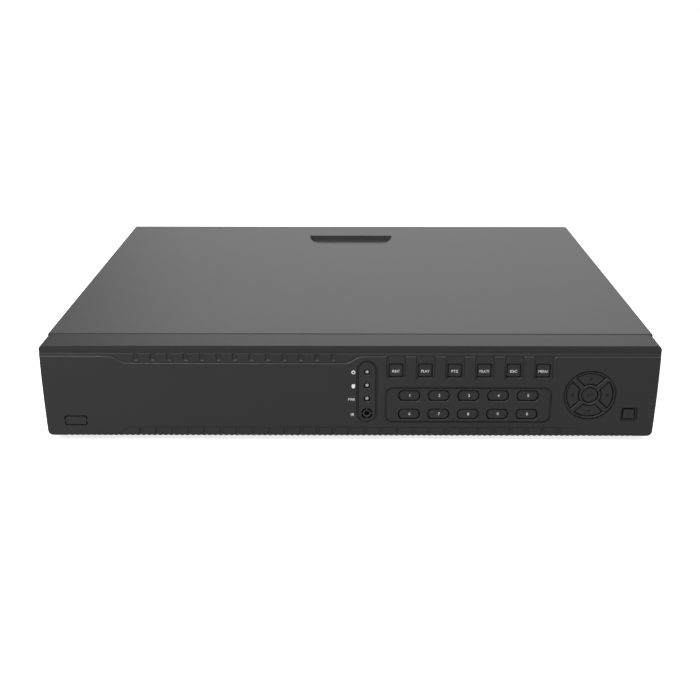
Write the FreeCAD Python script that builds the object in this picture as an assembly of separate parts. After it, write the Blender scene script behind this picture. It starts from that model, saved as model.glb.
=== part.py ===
"""Rack-width digital video recorder: a folded steel case behind a moulded front bezel.

Frame: +X to the right seen from the front, +Y towards the rear, +Z up. The origin is the middle of
the footprint on the surface that the rubber feet stand on. Lengths are in millimetres.
"""
import FreeCAD, Part
import math
import os

Vector = FreeCAD.Vector

# ---- the case ----
CASE_WIDTH = 440.0
CASE_HEIGHT = 70.0
CASE_DEPTH = 350.0
FOOT_HEIGHT = 5.0
JACK_REACH = 11.0            # how far the coaxial jacks stand out behind the case
SHEET = 1.0                  # steel thickness
SEAM = 1.6                   # open joint between the bezel and the steel cover
BEZEL_DEPTH = 23.3
BEZEL_WALL = 2.4
BEZEL_SIDE = 3.0             # thickness of the bezel's ends, which bow outwards
BEZEL_BOW = (0.8, 0.3)       # how far the ends draw in at the bottom and at the top
FACE_WALL = 3.0
COVER_INSET = 0.4            # the cover is this much narrower than the bezel, each side

FRONT = -(CASE_DEPTH + JACK_REACH) / 2
REAR = FRONT + CASE_DEPTH
FLOOR = FOOT_HEIGHT
TOP = FLOOR + CASE_HEIGHT
HALF = CASE_WIDTH / 2
COVER_HALF = HALF - COVER_INSET
COVER_FRONT = FRONT + BEZEL_DEPTH + SEAM
PANEL_FACE = REAR - 1.2      # outer face of the rear panel
PANEL_BACK = PANEL_FACE - SHEET

# ---- the front face: heights are above FLOOR, depths are behind FRONT ----
BAND_FOOT = 63.7             # lower edge of the leaning band under the top edge
STEP_FOOT = 63.2
FIELD_DEPTH = 0.5            # the channels and the strip above the plate lie this deep
PLATE_TOP = 61.8
PLATE_DIP = 56.5             # the plate's top edge under the upper vent channel
PLATE_LIFT = 6.5             # the plate's lower edge over the lower vent channel
GROOVE_WIDTH = 0.35
GROOVE_DEPTH = 0.8
UPPER_CHANNEL = (-173.0, -157.0, -5.0, 10.0)
LOWER_CHANNEL = (-173.0, -156.0, 158.0, 175.0)
SLOT_PITCH = 11.65
SLOT_WIDTH = 2.6
UPPER_SLOTS = 13
LOWER_SLOTS = 27
SLOT_DEPTH = 1.2
NOTCH_PITCH = 4.0
NOTCHES = 103

# ---- the keys ----
KEY_TRAVEL = 0.6
KEY_GAP = 0.6
KEY_SINK = 0.8              # the key faces lie this far behind the surface around them
MOUTH = 0.3                  # bevel round every opening in the face
FUNCTION_X = 32.7
FUNCTION_PITCH = 20.93
FUNCTION_Z = 50.5
FUNCTION_SIZE = (9.1, 9.5)
POCKET_SIZE = (12.8, 19.2)   # at its floor
POCKET_DEPTH = 1.0
POCKET_DRAFT = 0.45          # how far a pocket's sides lean outwards
CORNER_RADIUS = 3.0          # of the plate beside the last pocket
NUMBER_X = 42.5
NUMBER_PITCH = 21.2
NUMBER_Z = (31.6, 17.2)
NUMBER_SIZE = (14.5, 7.1)
NUMBER_BOW = 2.2             # how far the ends of a number key bulge
PAD_X, PAD_Z = 171.7, 32.2
PAD_RADII = (7.8, 16.9)      # inner and outer radius of the arrow key openings
PAD_SPOKE = 3.2
ENTER_RADIUS = 6.1
POWER_X, POWER_Z = 201.0, 17.2
POWER_SIZE = (7.9, 7.2)
POWER_POCKET = (11.6, 10.4)  # at its floor
POWER_DEPTH = 1.7
STEM_RADIUS = 1.75
STEM_REACH = 0.4             # how far a stem reaches into its switch at rest

# ---- the indicator capsule ----
CAPSULE_X = 12.2
CAPSULE_Z = (10.4, 58.6)
CAPSULE_WIDTH = 15.2
CAPSULE_RIM = 1.6
LAMP_Z = (49.6, 39.3, 29.2)
SENSOR_Z = 17.8
LAMP_HOLE = 2.2
SENSOR_RING = 3.6            # middle radius of the curved slits round the sensor

# ---- depths behind FRONT of what sits behind the bezel ----
SWITCH_FACE = 8.2
KEY_BOARD = 12.5
KEY_BOARD_SPAN = (-11.0, 209.0)
BOARD = 1.6
FRONT_WALL = 22.0
RIBBON_X = (54.0, 72.0)

# ---- inside the case ----
DECK = FLOOR + SHEET         # upper face of the base plate
MAIN_BOARD_Z = DECK + 6.0
MAIN_BOARD = ((-212.0, 104.0), (18.0, PANEL_BACK - 1.6))
BOARD_TOP = MAIN_BOARD_Z + BOARD
FAN_X, FAN_Z = 136.0, FLOOR + 33.0
FAN_SIZE, FAN_DEPTH, FAN_HOLE_SPACING = 60.0, 15.0, 50.0
FAN_BORE = 28.5
DRIVES_X = (-149.0, -40.0)
DRIVE_SIZE = (101.6, 147.0, 26.1)
DRIVE_FRONT = -146.0
SUPPLY = ((118.0, 212.0), (-30.0, 112.0), (DECK + 3.0, DECK + 43.0))

# ---- the rear connectors: X of each, heights above FLOOR ----
COAX_X = -12.0
COAX_PITCH = 15.5
COAX_COLUMNS = 8
COAX_Z = (20.0, 42.0)
PHONO_X, PHONO_Z = 6.0, (19.0, 34.0)
NETWORK_X = 24.0
USB_X = 44.0
HDMI_X = 63.0
VGA_X = 87.0
TERMINAL_X = -172.0
TERMINAL_WAYS = 16
TERMINAL_PITCH = 3.81
INLET_X, INLET_Z = 190.0, 22.0
ROCKER_X, ROCKER_Z = 190.0, 51.0
ROCKER_LEAN = 8.0            # degrees that the rocker leans at rest

# ---- the cover ----
PULL_RADIUS = 40.0
PULL_CHORD = 311.6           # the finger recess's straight rear wall, behind FRONT
PULL_OFFSET = 4.6            # from that wall forward to the centre of its arc
PULL_DEPTH = 4.4
PULL_FLAT = 8.0              # level floor in front of that wall, before the floor rises
PULL_DRAFT = 3.6             # how much narrower the recess is at its floor, each side
EAR_HOLES = (18.0, 50.0)     # behind the cover's front edge
EAR_HOLE_RADIUS = 2.1
EAR_Z = 35.0
PANEL_SCREW_X, PANEL_SCREW_Z = (-120.0, 0.0, 171.0), FLOOR + 4.4
EARTH_X, EARTH_Z = -209.0, FLOOR + 30.0
THREAD = 1.45                # radius of the tapped holes for the case screws
SEAT = 2.0                   # height of the seats under the drive bracket
LIP = 7.0                    # height of the cover's lip over the rear panel
LIP_SCREW = 3.6              # its screws are this far below the top
FEET = [(x, y) for x in (-185.0, 185.0) for y in (FRONT + 45.0, REAR - 40.0)]


# ---- shapes shared by several pieces ----
def box(x, y, z):
    """A block between the low and high values of each axis."""
    size = [high - low for low, high in (x, y, z)]
    return Part.makeBox(*size, Vector(x[0], y[0], z[0]))


def around(centre, width):
    """The low and high value of a span around its centre."""
    return (centre - width / 2, centre + width / 2)


def rounded_box(x, y, z, radius, axis="y"):
    """A block whose four edges along one axis are rounded."""
    block = box(x, y, z)
    index = "xyz".index(axis)

    def runs_along(edge):
        ends = [v.Point for v in edge.Vertexes]
        return abs(ends[0][index] - ends[1][index]) > 1e-6

    return block.makeFillet(radius, [e for e in block.Edges if runs_along(e)])


def rod(x, z, radius, y):
    """A cylinder along Y."""
    return Part.makeCylinder(radius, y[1] - y[0], Vector(x, y[0], z), Vector(0, 1, 0))


def post(x, y, radius, z):
    """An upright cylinder."""
    return Part.makeCylinder(radius, z[1] - z[0], Vector(x, y, z[0]))


def joined(shapes):
    """All the shapes fused into one."""
    return shapes[0].multiFuse(shapes[1:]).removeSplitter() if len(shapes) > 1 else shapes[0]


def group(shapes):
    """Separate solids kept side by side in one piece."""
    return Part.makeCompound(shapes)


def without(shape, cuts):
    """The shape with every cut taken out of it."""
    return shape.cut(Part.makeCompound(cuts))


def edges_at(shape, axis, value):
    """The edges that lie wholly at one value of an axis."""
    index = "xyz".index(axis)

    def lies_there(edge):
        span = edge.BoundBox
        low = (span.XMin, span.YMin, span.ZMin)[index]
        high = (span.XMax, span.YMax, span.ZMax)[index]
        return abs(low - value) < 1e-4 and abs(high - value) < 1e-4

    return [e for e in shape.Edges if lies_there(e)]


def prism(edges, y):
    """The solid between two depths whose outline is a closed chain of edges in the XZ plane."""
    face = Part.Face(Part.Wire(Part.__sortEdges__(edges)))
    face.translate(Vector(0, y[0], 0))
    return face.extrude(Vector(0, y[1] - y[0], 0))


def line(a, b):
    """A straight edge between two XZ points."""
    return Part.LineSegment(Vector(a[0], 0, a[1]), Vector(b[0], 0, b[1])).toShape()


def bend(a, through, b):
    """An arc through three XZ points."""
    return Part.Arc(*[Vector(p[0], 0, p[1]) for p in (a, through, b)]).toShape()


def s_curve(a, b):
    """Two tangent arcs from a to b, level at both ends."""
    width, rise = b[0] - a[0], b[1] - a[1]
    radius = (width ** 2 + rise ** 2) / (4 * abs(rise))
    half_turn = math.asin(abs(width) / 2 / radius) / 2
    side = math.copysign(radius * math.sin(half_turn), width)
    drop = math.copysign(radius * (1 - math.cos(half_turn)), rise)
    middle = ((a[0] + b[0]) / 2, (a[1] + b[1]) / 2)
    return [bend(a, (a[0] + side, a[1] + drop), middle),
            bend(middle, (b[0] - side, b[1] - drop), b)]


def rounded_outline(x, z, size, radius):
    """A rectangle with round corners, round a centre."""
    right, top = x + size[0] / 2, z + size[1] / 2
    left, bottom = x - size[0] / 2, z - size[1] / 2
    cut = radius * (1 - math.sqrt(0.5))
    return [line((left + radius, top), (right - radius, top)),
            bend((right - radius, top), (right - cut, top - cut), (right, top - radius)),
            line((right, top - radius), (right, bottom + radius)),
            bend((right, bottom + radius), (right - cut, bottom + cut), (right - radius, bottom)),
            line((right - radius, bottom), (left + radius, bottom)),
            bend((left + radius, bottom), (left + cut, bottom + cut), (left, bottom + radius)),
            line((left, bottom + radius), (left, top - radius)),
            bend((left, top - radius), (left + cut, top - cut), (left + radius, top))]


def bowed_outline(x, z, size):
    """Flat top and bottom with arcs for ends."""
    right, left = x + size[0] / 2, x - size[0] / 2
    top, bottom = z + size[1] / 2, z - size[1] / 2
    return [line((left + NUMBER_BOW, top), (right - NUMBER_BOW, top)),
            bend((right - NUMBER_BOW, top), (right, z), (right - NUMBER_BOW, bottom)),
            line((right - NUMBER_BOW, bottom), (left + NUMBER_BOW, bottom)),
            bend((left + NUMBER_BOW, bottom), (left, z), (left + NUMBER_BOW, top))]


def sector_outline(turn, inner, outer, spoke):
    """One of the arrow pad's four sectors, turned clockwise from the top."""
    def point(radius, angle):
        angle = math.radians(turn + angle)
        return (PAD_X + radius * math.sin(angle), level(PAD_Z) + radius * math.cos(angle))

    wide = 45 - math.degrees(math.asin(spoke / 2 / outer))
    narrow = 45 - math.degrees(math.asin(spoke / 2 / inner))
    return [bend(point(outer, -wide), point(outer, 0), point(outer, wide)),
            line(point(outer, wide), point(inner, narrow)),
            bend(point(inner, narrow), point(inner, 0), point(inner, -narrow)),
            line(point(inner, -narrow), point(outer, -wide))]


def funnel(outline, mouth, wide, floor, narrow):
    """The solid between an outline grown by wide at one depth and by narrow at another."""
    wires = []
    for grow, y in ((wide, mouth), (narrow, floor)):
        wire = Part.Wire(Part.__sortEdges__(outline(grow)))
        wire.translate(Vector(0, y, 0))
        wires.append(wire)
    return Part.makeLoft(wires, True, True)


def opening(outline, face=0.0, floor=FACE_WALL + 1):
    """Cutters for a hole with a bevelled mouth; outline is a function of how far it is grown."""
    return [prism(outline(0), (depth(face - 1), depth(floor))),
            funnel(outline, depth(face - 0.5), MOUTH + 0.5, depth(face + MOUTH), 0)]


def pocket(outline, deep, draft):
    """A cutter for a hollow whose sides lean outwards."""
    return funnel(outline, FRONT - 1, draft * (deep + 1) / deep, depth(deep), 0)


def strip(points, thickness, x):
    """A flat lead: a level-sided strip of one thickness along rounded YZ points, between two X."""
    bends = [Vector(0, y, z) for y, z in points]
    edges = []
    start = bends[0]
    for before, corner, after in zip(bends, bends[1:], bends[2:]):
        back, ahead = (before - corner).normalize(), (after - corner).normalize()
        half_angle = back.getAngle(ahead) / 2
        reach = 0.45 * min((before - corner).Length, (after - corner).Length)
        radius = reach * math.tan(half_angle)
        inner = (back + ahead).normalize()
        deep = radius / math.sin(half_angle) - radius
        first, last = corner + back * reach, corner + ahead * reach
        edges.append(Part.LineSegment(start, first).toShape())
        edges.append(Part.Arc(first, corner + inner * deep, last).toShape())
        start = last
    edges.append(Part.LineSegment(start, bends[-1]).toShape())
    band = Part.Wire(edges).makeOffset2D(thickness, join=2, fill=True, openResult=True)
    band.translate(Vector(x[0], 0, 0))
    return band.extrude(Vector(x[1] - x[0], 0, 0))


def screw(radius, head_radius, head_height, length, cross=True):
    """A pan-head screw standing on Z = 0 with its shank below, its head above."""
    head = Part.makeCylinder(head_radius, head_height)
    head = head.makeFillet(head_height * 0.55, edges_at(head, "z", head_height))
    body = head.fuse(Part.makeCylinder(radius, length, Vector(0, 0, -length)))
    if cross:
        slot = box(around(0, head_radius * 1.15), around(0, head_radius * 0.28),
                   (head_height * 0.35, head_height + 1))
        turned = slot.copy()
        turned.rotate(Vector(), Vector(0, 0, 1), 90)
        body = without(body, [slot, turned])
    return body.removeSplitter()


def placed(shape, position, axis=(0, 0, 1)):
    """A copy of a shape with its +Z turned to an axis and its origin moved to a position."""
    copy = shape.copy()
    copy.Placement = FreeCAD.Placement(Vector(*position),
                                       FreeCAD.Rotation(Vector(0, 0, 1), Vector(*axis)))
    return copy


def depth(distance):
    """Y of a depth behind the front face."""
    return FRONT + distance


def level(height):
    """Z of a height above the underside of the case."""
    return FLOOR + height


# ---- key positions ----
def function_centres():
    return [(FUNCTION_X + FUNCTION_PITCH * i, level(FUNCTION_Z)) for i in range(6)]


def number_centres():
    return [(NUMBER_X + NUMBER_PITCH * i, level(z)) for z in NUMBER_Z for i in range(5)]


def pad_sectors(inner, outer, spoke, y):
    """The four curved keys of the arrow pad as separate solids: up, right, down, left."""
    return [prism(sector_outline(turn, inner, outer, spoke), y) for turn in (0, 90, 180, 270)]


# ---- front bezel ----
def plate_outline():
    """The raised plate of the bezel: it dips under the upper vents and lifts over the lower ones."""
    top, dip, lift = level(PLATE_TOP), level(PLATE_DIP), level(PLATE_LIFT)
    a, b, c, d = UPPER_CHANNEL
    e, f, g, h = LOWER_CHANNEL
    under = FLOOR
    return ([line((-HALF, under), (-HALF, top)), line((-HALF, top), (a, top))]
            + s_curve((a, top), (b, dip)) + [line((b, dip), (c, dip))]
            + s_curve((c, dip), (d, top)) + [line((d, top), (HALF, top))]
            + [line((HALF, top), (HALF, under)), line((HALF, under), (h, under))]
            + s_curve((h, under), (g, lift)) + [line((g, lift), (f, lift))]
            + s_curve((f, lift), (e, under)) + [line((e, under), (-HALF, under))])


def bezel_skin():
    """The outer form of the bezel, still solid: leaning band, plate and the groove between them."""
    section = [(BEZEL_DEPTH, 0.0), (BEZEL_DEPTH, CASE_HEIGHT), (0.0, CASE_HEIGHT - 0.3),
               (0.0, CASE_HEIGHT - 1.0), (1.2, BAND_FOOT), (FIELD_DEPTH, STEP_FOOT),
               (FIELD_DEPTH, 0.0)]
    corners = [Vector(-HALF, depth(y), level(z)) for y, z in section]
    core = Part.Face(Part.makePolygon(corners + corners[:1])).extrude(Vector(CASE_WIDTH, 0, 0))
    plate = prism(plate_outline(), (FRONT, depth(FACE_WALL)))

    def bounds_a_channel(edge):
        middle = edge.valueAt((edge.FirstParameter + edge.LastParameter) / 2)
        return FLOOR + 1 < middle.z and abs(middle.x) < HALF - 1

    plate = plate.makeChamfer(0.6, [e for e in edges_at(plate, "y", FRONT)
                                     if bounds_a_channel(e)])
    shadow = prism(plate_outline(), (FRONT, depth(GROOVE_DEPTH)))
    face = Part.Face(Part.Wire(Part.__sortEdges__(plate_outline())))
    wider = face.makeOffset2D(GROOVE_WIDTH)
    wider.translate(Vector(0, FRONT, 0))
    groove = wider.extrude(Vector(0, GROOVE_DEPTH, 0)).cut(shadow)
    keep = box((UPPER_CHANNEL[0] - 4, HALF - 4), (FRONT, depth(5)), (level(40), level(CASE_HEIGHT)))
    return core.cut(groove.common(keep)).fuse(plate)


def envelope():
    """The block that limits the bezel: bowed ends, soft corners and a soft rim round its face."""
    foot, head = HALF - BEZEL_BOW[0], HALF - BEZEL_BOW[1]
    outline = [line((-foot, FLOOR), (foot, FLOOR)),
               bend((foot, FLOOR), (HALF, level(48.0)), (head, TOP)),
               line((head, TOP), (-head, TOP)),
               bend((-head, TOP), (-HALF, level(48.0)), (-foot, FLOOR))]
    block = prism(outline, (FRONT, depth(BEZEL_DEPTH)))
    corners = [e for e in block.Edges if abs(e.BoundBox.YLength - BEZEL_DEPTH) < 0.01]
    block = block.makeFillet(3.8, corners)
    return block.makeFillet(0.8, edges_at(block, "y", FRONT))


def ring_cut(x, z, radius, width, deep):
    """A round groove in the face."""
    y = (FRONT - 1, depth(deep))
    return rod(x, z, radius + width / 2, y).cut(rod(x, z, radius - width / 2, y))


def frame_cut(x, z, radius, width, deep):
    """A groove that follows a rounded rectangle."""
    y = (FRONT - 1, depth(deep))
    outer = rounded_box(x, y, z, radius)
    inner = rounded_box((x[0] + width, x[1] - width), y, (z[0] + width, z[1] - width),
                        radius - width)
    return outer.cut(inner)


def capsule_outline(grow):
    """The upright capsule of the indicators, its outline moved out by grow."""
    width = CAPSULE_WIDTH - 2 * CAPSULE_RIM + 2 * grow
    height = CAPSULE_Z[1] - CAPSULE_Z[0] - 2 * CAPSULE_RIM + 2 * grow
    return rounded_outline(CAPSULE_X, level(sum(CAPSULE_Z) / 2), (width, height), width / 2 - 0.02)


def vent_cuts():
    """Blind upright slots in both channels and the comb of notches along the lower edge."""
    half_run = SLOT_PITCH * (LOWER_SLOTS - 1) / 2
    cuts = []
    for row, (foot, head), face in ((LOWER_SLOTS, (1.3, 5.4), FIELD_DEPTH),
                                    (UPPER_SLOTS, (58.7, 64.9), FIELD_DEPTH + 0.3)):
        for i in range(row):
            x = SLOT_PITCH * i - half_run
            middle, size = level((foot + head) / 2), (SLOT_WIDTH, head - foot)
            cuts += opening(lambda grow: rounded_outline(x, middle, (size[0] + 2 * grow, size[1] + 2 * grow),
                                                         0.8 + grow), face, SLOT_DEPTH)
    for i in range(NOTCHES):
        x = NOTCH_PITCH * (i - (NOTCHES - 1) / 2)
        cuts.append(box(around(x, 1.9), (FRONT - 1, depth(9.0)), (FLOOR - 1, FLOOR + 0.4)))
    return cuts


def service_port_cuts():
    """The knock-out for a service port: two bracket-shaped slits that leave two small bridges."""
    x, z = (-206.3, -189.9), (level(7.9), level(15.7))
    ring = frame_cut(x, z, 1.5, 0.9, FACE_WALL + 1)
    bridges = box((x[0] - 1, x[1] + 1), (FRONT - 2, depth(FACE_WALL + 2)), around(sum(z) / 2, 0.9))
    return [ring.cut(bridges)]


def block_outline(x, z, size, radius, spare=0.0):
    """A rounded rectangle, spare larger all round, as a function of how far it is grown."""
    def outline(grow):
        more = spare + grow
        return rounded_outline(x, z, (size[0] + 2 * more, size[1] + 2 * more), radius + more)
    return outline


def key_openings():
    """Openings and shallow pockets for all the keys."""
    below = box((-HALF, HALF), (FRONT - 5, depth(9)), (FLOOR, level(PLATE_TOP)))
    cuts = []
    for x, z in function_centres():
        middle = level(PLATE_TOP) - POCKET_SIZE[1] / 2 + 2.0
        form = pocket(block_outline(x, middle, POCKET_SIZE, 1.2), POCKET_DEPTH, POCKET_DRAFT)
        cuts.append(form.common(below))
        cuts += opening(block_outline(x, z, FUNCTION_SIZE, 0.5, KEY_GAP), POCKET_DEPTH)
    last = function_centres()[-1][0] + POCKET_SIZE[0] / 2 + POCKET_DRAFT
    corner = box((last - 0.5, last + CORNER_RADIUS), (FRONT - 1, depth(FIELD_DEPTH)),
                 (level(PLATE_TOP) - CORNER_RADIUS, level(PLATE_TOP) + 0.1))
    round_end = Part.makeCone(CORNER_RADIUS - FIELD_DEPTH, CORNER_RADIUS, FIELD_DEPTH,
                              Vector(last + CORNER_RADIUS, FRONT, level(PLATE_TOP) - CORNER_RADIUS),
                              Vector(0, 1, 0))
    spout = rod(last + CORNER_RADIUS, level(PLATE_TOP) - CORNER_RADIUS, CORNER_RADIUS - FIELD_DEPTH,
                (FRONT - 2, FRONT + 0.01))
    cuts.append(corner.cut(round_end).cut(spout))
    for x, z in number_centres():
        cuts += opening(lambda grow: bowed_outline(x, z, (NUMBER_SIZE[0] + 2 * (KEY_GAP + grow),
                                                          NUMBER_SIZE[1] + 2 * (KEY_GAP + grow))))
    inner, outer = PAD_RADII
    for turn in (0, 90, 180, 270):
        cuts += opening(lambda grow: sector_outline(turn, inner - grow, outer + grow,
                                                    PAD_SPOKE - 2 * grow))
    cuts += round_opening(PAD_X, level(PAD_Z), ENTER_RADIUS, FACE_WALL + 1)
    x, z = POWER_X, level(POWER_Z)
    cuts.append(pocket(block_outline(x, z, POWER_POCKET, 1.2), POWER_DEPTH, POCKET_DRAFT))
    cuts += opening(block_outline(x, z, POWER_SIZE, 0.5, KEY_GAP), POWER_DEPTH)
    return cuts


def round_opening(x, z, radius, floor):
    """Cutters for a round hole with a bevelled mouth."""
    cone = Part.makeCone(radius + MOUTH + 0.5, radius, MOUTH + 0.5, Vector(x, FRONT - 0.5, z),
                         Vector(0, 1, 0))
    return [rod(x, z, radius, (FRONT - 1, depth(floor))), cone]


def board_posts():
    """Where the key board is screwed to the bezel."""
    return [(x, level(z)) for x in (-6.0, 22.0, 150.0, 204.0) for z in (6.6, 60.0)]


def wall_posts():
    """Where the bezel is screwed to the front wall of the base pan."""
    return [(x, level(35.0)) for x in (-210.0, -96.0, -14.5, 213.2)]


def front_bezel():
    outer = bezel_skin().common(envelope())
    hollow = rounded_box((-HALF + BEZEL_SIDE, HALF - BEZEL_SIDE),
                         (depth(FACE_WALL), depth(BEZEL_DEPTH + 1)),
                         (FLOOR + BEZEL_WALL, TOP - BEZEL_WALL), 1.5)
    shell = outer.cut(hollow)
    posts = [rod(x, z, 2.9, (depth(FACE_WALL - 0.5), depth(KEY_BOARD))) for x, z in board_posts()]
    posts += [rod(x, z, 2.9, (depth(FACE_WALL - 0.5), depth(FRONT_WALL))) for x, z in wall_posts()]
    shell = shell.fuse(posts)
    cuts = vent_cuts() + service_port_cuts() + key_openings()
    cuts.append(frame_cut((25.0, 144.6), (level(10.6), level(38.4)), 5.7, 1.5, 0.9))
    cuts.append(ring_cut(PAD_X, level(PAD_Z), 18.4, 1.0, 1.2))
    cuts.append(pocket(lambda grow: capsule_outline(CAPSULE_RIM - 0.4 + grow), 0.9, 0.4))
    cuts.append(prism(capsule_outline(0.2), (FRONT - 1, depth(FACE_WALL + 1))))
    cuts += [rod(x, z, 1.0, (depth(4.5), depth(KEY_BOARD + 1))) for x, z in board_posts()]
    cuts += [rod(x, z, 1.0, (depth(14.0), depth(FRONT_WALL + 1))) for x, z in wall_posts()]
    return without(shell, cuts)


# ---- keys: each is a cap, a flange that keeps it behind the face, and a stem to its switch ----
def key(cap, flange, stem_at, sink, soften=0.35):
    """One key from its cap outline, its flange outline and the place of its stem."""
    face = depth(sink)
    cap = cap.makeFillet(soften, edges_at(cap, "y", face))
    stem = rod(*stem_at, STEM_RADIUS, (depth(FACE_WALL + 0.5), depth(SWITCH_FACE + STEM_REACH)))
    return joined([cap, flange, stem])


def block_key(x, z, size, radius, sink):
    """A rectangular key."""
    cap_y, flange_y = (depth(sink), depth(FACE_WALL + 0.5)), (depth(FACE_WALL + 0.05), depth(4.2))
    cap = rounded_box(around(x, size[0]), cap_y, around(z, size[1]), radius)
    flange = box(around(x, size[0] + 1.8), flange_y, around(z, size[1] + 1.8))
    return key(cap, flange, (x, z), sink)


def bowed_key(x, z):
    """A number key."""
    cap = prism(bowed_outline(x, z, NUMBER_SIZE), (depth(KEY_SINK), depth(FACE_WALL + 0.5)))
    size = (NUMBER_SIZE[0] + 1.8, NUMBER_SIZE[1] + 1.8)
    flange = prism(bowed_outline(x, z, size), (depth(FACE_WALL + 0.05), depth(4.2)))
    return key(cap, flange, (x, z), KEY_SINK)


def all_keys():
    """Every key by its name, each with its stem's place."""
    keys = {}
    for name, (x, z) in zip(("record", "play", "pan_tilt", "multi", "escape", "menu"),
                            function_centres()):
        keys["key_" + name] = (block_key(x, z, FUNCTION_SIZE, 0.8, POCKET_DEPTH + KEY_SINK), (x, z))
    for number, (x, z) in enumerate(number_centres(), 1):
        keys[f"key_{number % 10}"] = (bowed_key(x, z), (x, z))
    inner, outer = PAD_RADII
    caps = pad_sectors(inner + KEY_GAP, outer - KEY_GAP, PAD_SPOKE + 2 * KEY_GAP,
                       (depth(KEY_SINK), depth(FACE_WALL + 0.5)))
    flanges = pad_sectors(inner - 0.5, outer + 0.6, PAD_SPOKE - 1.0,
                          (depth(FACE_WALL + 0.05), depth(4.2)))
    arm = (inner + outer) / 2
    places = [(PAD_X + arm * dx, level(PAD_Z) + arm * dz)
              for dx, dz in ((0, 1), (1, 0), (0, -1), (-1, 0))]
    for name, cap, flange, place in zip(("up", "right", "down", "left"), caps, flanges, places):
        keys["key_" + name] = (key(cap, flange, place, KEY_SINK), place)
    centre = (PAD_X, level(PAD_Z))
    enter = rod(*centre, ENTER_RADIUS - KEY_GAP, (depth(KEY_SINK), depth(FACE_WALL + 0.5)))
    lip = rod(*centre, ENTER_RADIUS + 0.6, (depth(FACE_WALL + 0.05), depth(4.2)))
    keys["key_enter"] = (key(enter, lip, centre, KEY_SINK), centre)
    place = (POWER_X, level(POWER_Z))
    keys["key_power"] = (block_key(*place, POWER_SIZE, 0.8, KEY_SINK + 0.2), place)
    return keys


# ---- behind the bezel ----
def indicator_insert():
    """The capsule plate: three lamp holes and a sensor window ringed by four curved slits."""
    body = prism(capsule_outline(0.0), (FRONT, depth(FACE_WALL + 0.5)))
    body = body.makeFillet(0.3, edges_at(body, "y", FRONT))
    flange = prism(capsule_outline(1.4), (depth(FACE_WALL + 0.05), depth(4.2)))
    cuts = []
    for z in LAMP_Z:
        cuts += round_opening(CAPSULE_X, level(z), LAMP_HOLE, 6.0)
    z = level(SENSOR_Z)
    cuts += round_opening(CAPSULE_X, z, 1.8, 6.0)
    ring = ring_cut(CAPSULE_X, z, SENSOR_RING, 1.3, 6.0)
    spokes = [box(around(CAPSULE_X, w), (FRONT - 2, depth(7)), around(z, h))
              for w, h in ((10.0, 0.9), (0.9, 10.0))]
    return without(body.fuse(flange), cuts + [without(ring, spokes)])


def status_lamps():
    """Three light-emitting diodes: a domed lens on a square base on the key board."""
    lamps = []
    for z in LAMP_Z:
        dome = rod(CAPSULE_X, level(z), 1.4, (depth(0.6), depth(7.0)))
        dome = dome.makeFillet(0.9, edges_at(dome, "y", depth(0.6)))
        base = box(around(CAPSULE_X, 3.4), (depth(6.5), depth(KEY_BOARD)), around(level(z), 3.4))
        lamps.append(joined([dome, base]))
    return group(lamps)


def infrared_receiver():
    """The remote-control receiver: a domed lens on a small block."""
    z = level(SENSOR_Z)
    dome = rod(CAPSULE_X, z, 2.4, (depth(4.3), depth(6.5)))
    dome = dome.makeFillet(1.0, edges_at(dome, "y", depth(4.3)))
    return joined([dome, box(around(CAPSULE_X, 6.0), (depth(6.0), depth(KEY_BOARD)),
                             around(z, 7.0))])


def key_board():
    """The long narrow circuit board that carries the switches."""
    y = (depth(KEY_BOARD), depth(KEY_BOARD + BOARD))
    board = rounded_box(KEY_BOARD_SPAN, y, (level(3.2), level(63.5)), 2.0)
    socket = ribbon_socket((y[1] - 0.2, y[1] + 6.0), around(level(14.5), 5.0))
    holes = [rod(x, z, 1.3, (y[0] - 1, y[1] + 1)) for x, z in board_posts()]
    return without(board.fuse(socket), holes)


def tact_switches(places):
    """A square push switch behind each key, with the well that the key's stem works in."""
    switches = []
    for x, z in places:
        body = box(around(x, 6.0), (depth(SWITCH_FACE), depth(KEY_BOARD)), around(z, 6.0))
        well = (depth(SWITCH_FACE - 1), depth(SWITCH_FACE + STEM_REACH + KEY_TRAVEL + 1.4))
        switches.append(body.cut(rod(x, z, 2.0, well)))
    return group(switches)


def bezel_screws():
    """Self-tapping screws in the bezel's posts: eight hold the key board, four the front wall."""
    fastener = screw(0.95, 2.5, 1.5, 6.0)
    board = [placed(fastener, (x, depth(KEY_BOARD + BOARD), z), (0, 1, 0)) for x, z in board_posts()]
    wall = [placed(fastener, (x, depth(FRONT_WALL + SHEET), z), (0, 1, 0)) for x, z in wall_posts()]
    return group(board + wall)


def front_ribbon():
    """Ribbon lead from the key board through the front wall and along the floor to the main board."""
    back = depth(KEY_BOARD + BOARD)
    low, landing = DECK + 3.0, BOARD_TOP + 6.0
    points = [(back + 6.0, level(14.5)), (back + 10.0, level(14.5)), (back + 20.0, low),
              (-4.0, low), (12.0, landing + 8.0), (24.5, landing + 8.0),
              (24.5, landing)]
    return strip(points, 0.9, RIBBON_X)


def ribbon_socket(y, z):
    """A pin header as wide as the ribbon with a little to spare."""
    return box((RIBBON_X[0] - 2.0, RIBBON_X[1] + 2.0), y, z)


# ---- steel case ----
def pillars():
    """Tapped pillars drawn up from the base plate: place, radius and height."""
    board = [(x, y, 3.5, MAIN_BOARD_Z - DECK) for x, y in main_board_holes()]
    seats = [(x, y, 4.5, SEAT) for x, y in bracket_holes()]
    x, y, z = SUPPLY
    cage = [(px, py, 4.0, z[0] - DECK) for px in (x[0] + 8, x[1] - 8)
            for py in (y[0] + 8, y[1] - 8)]
    return board + seats + cage


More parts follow.
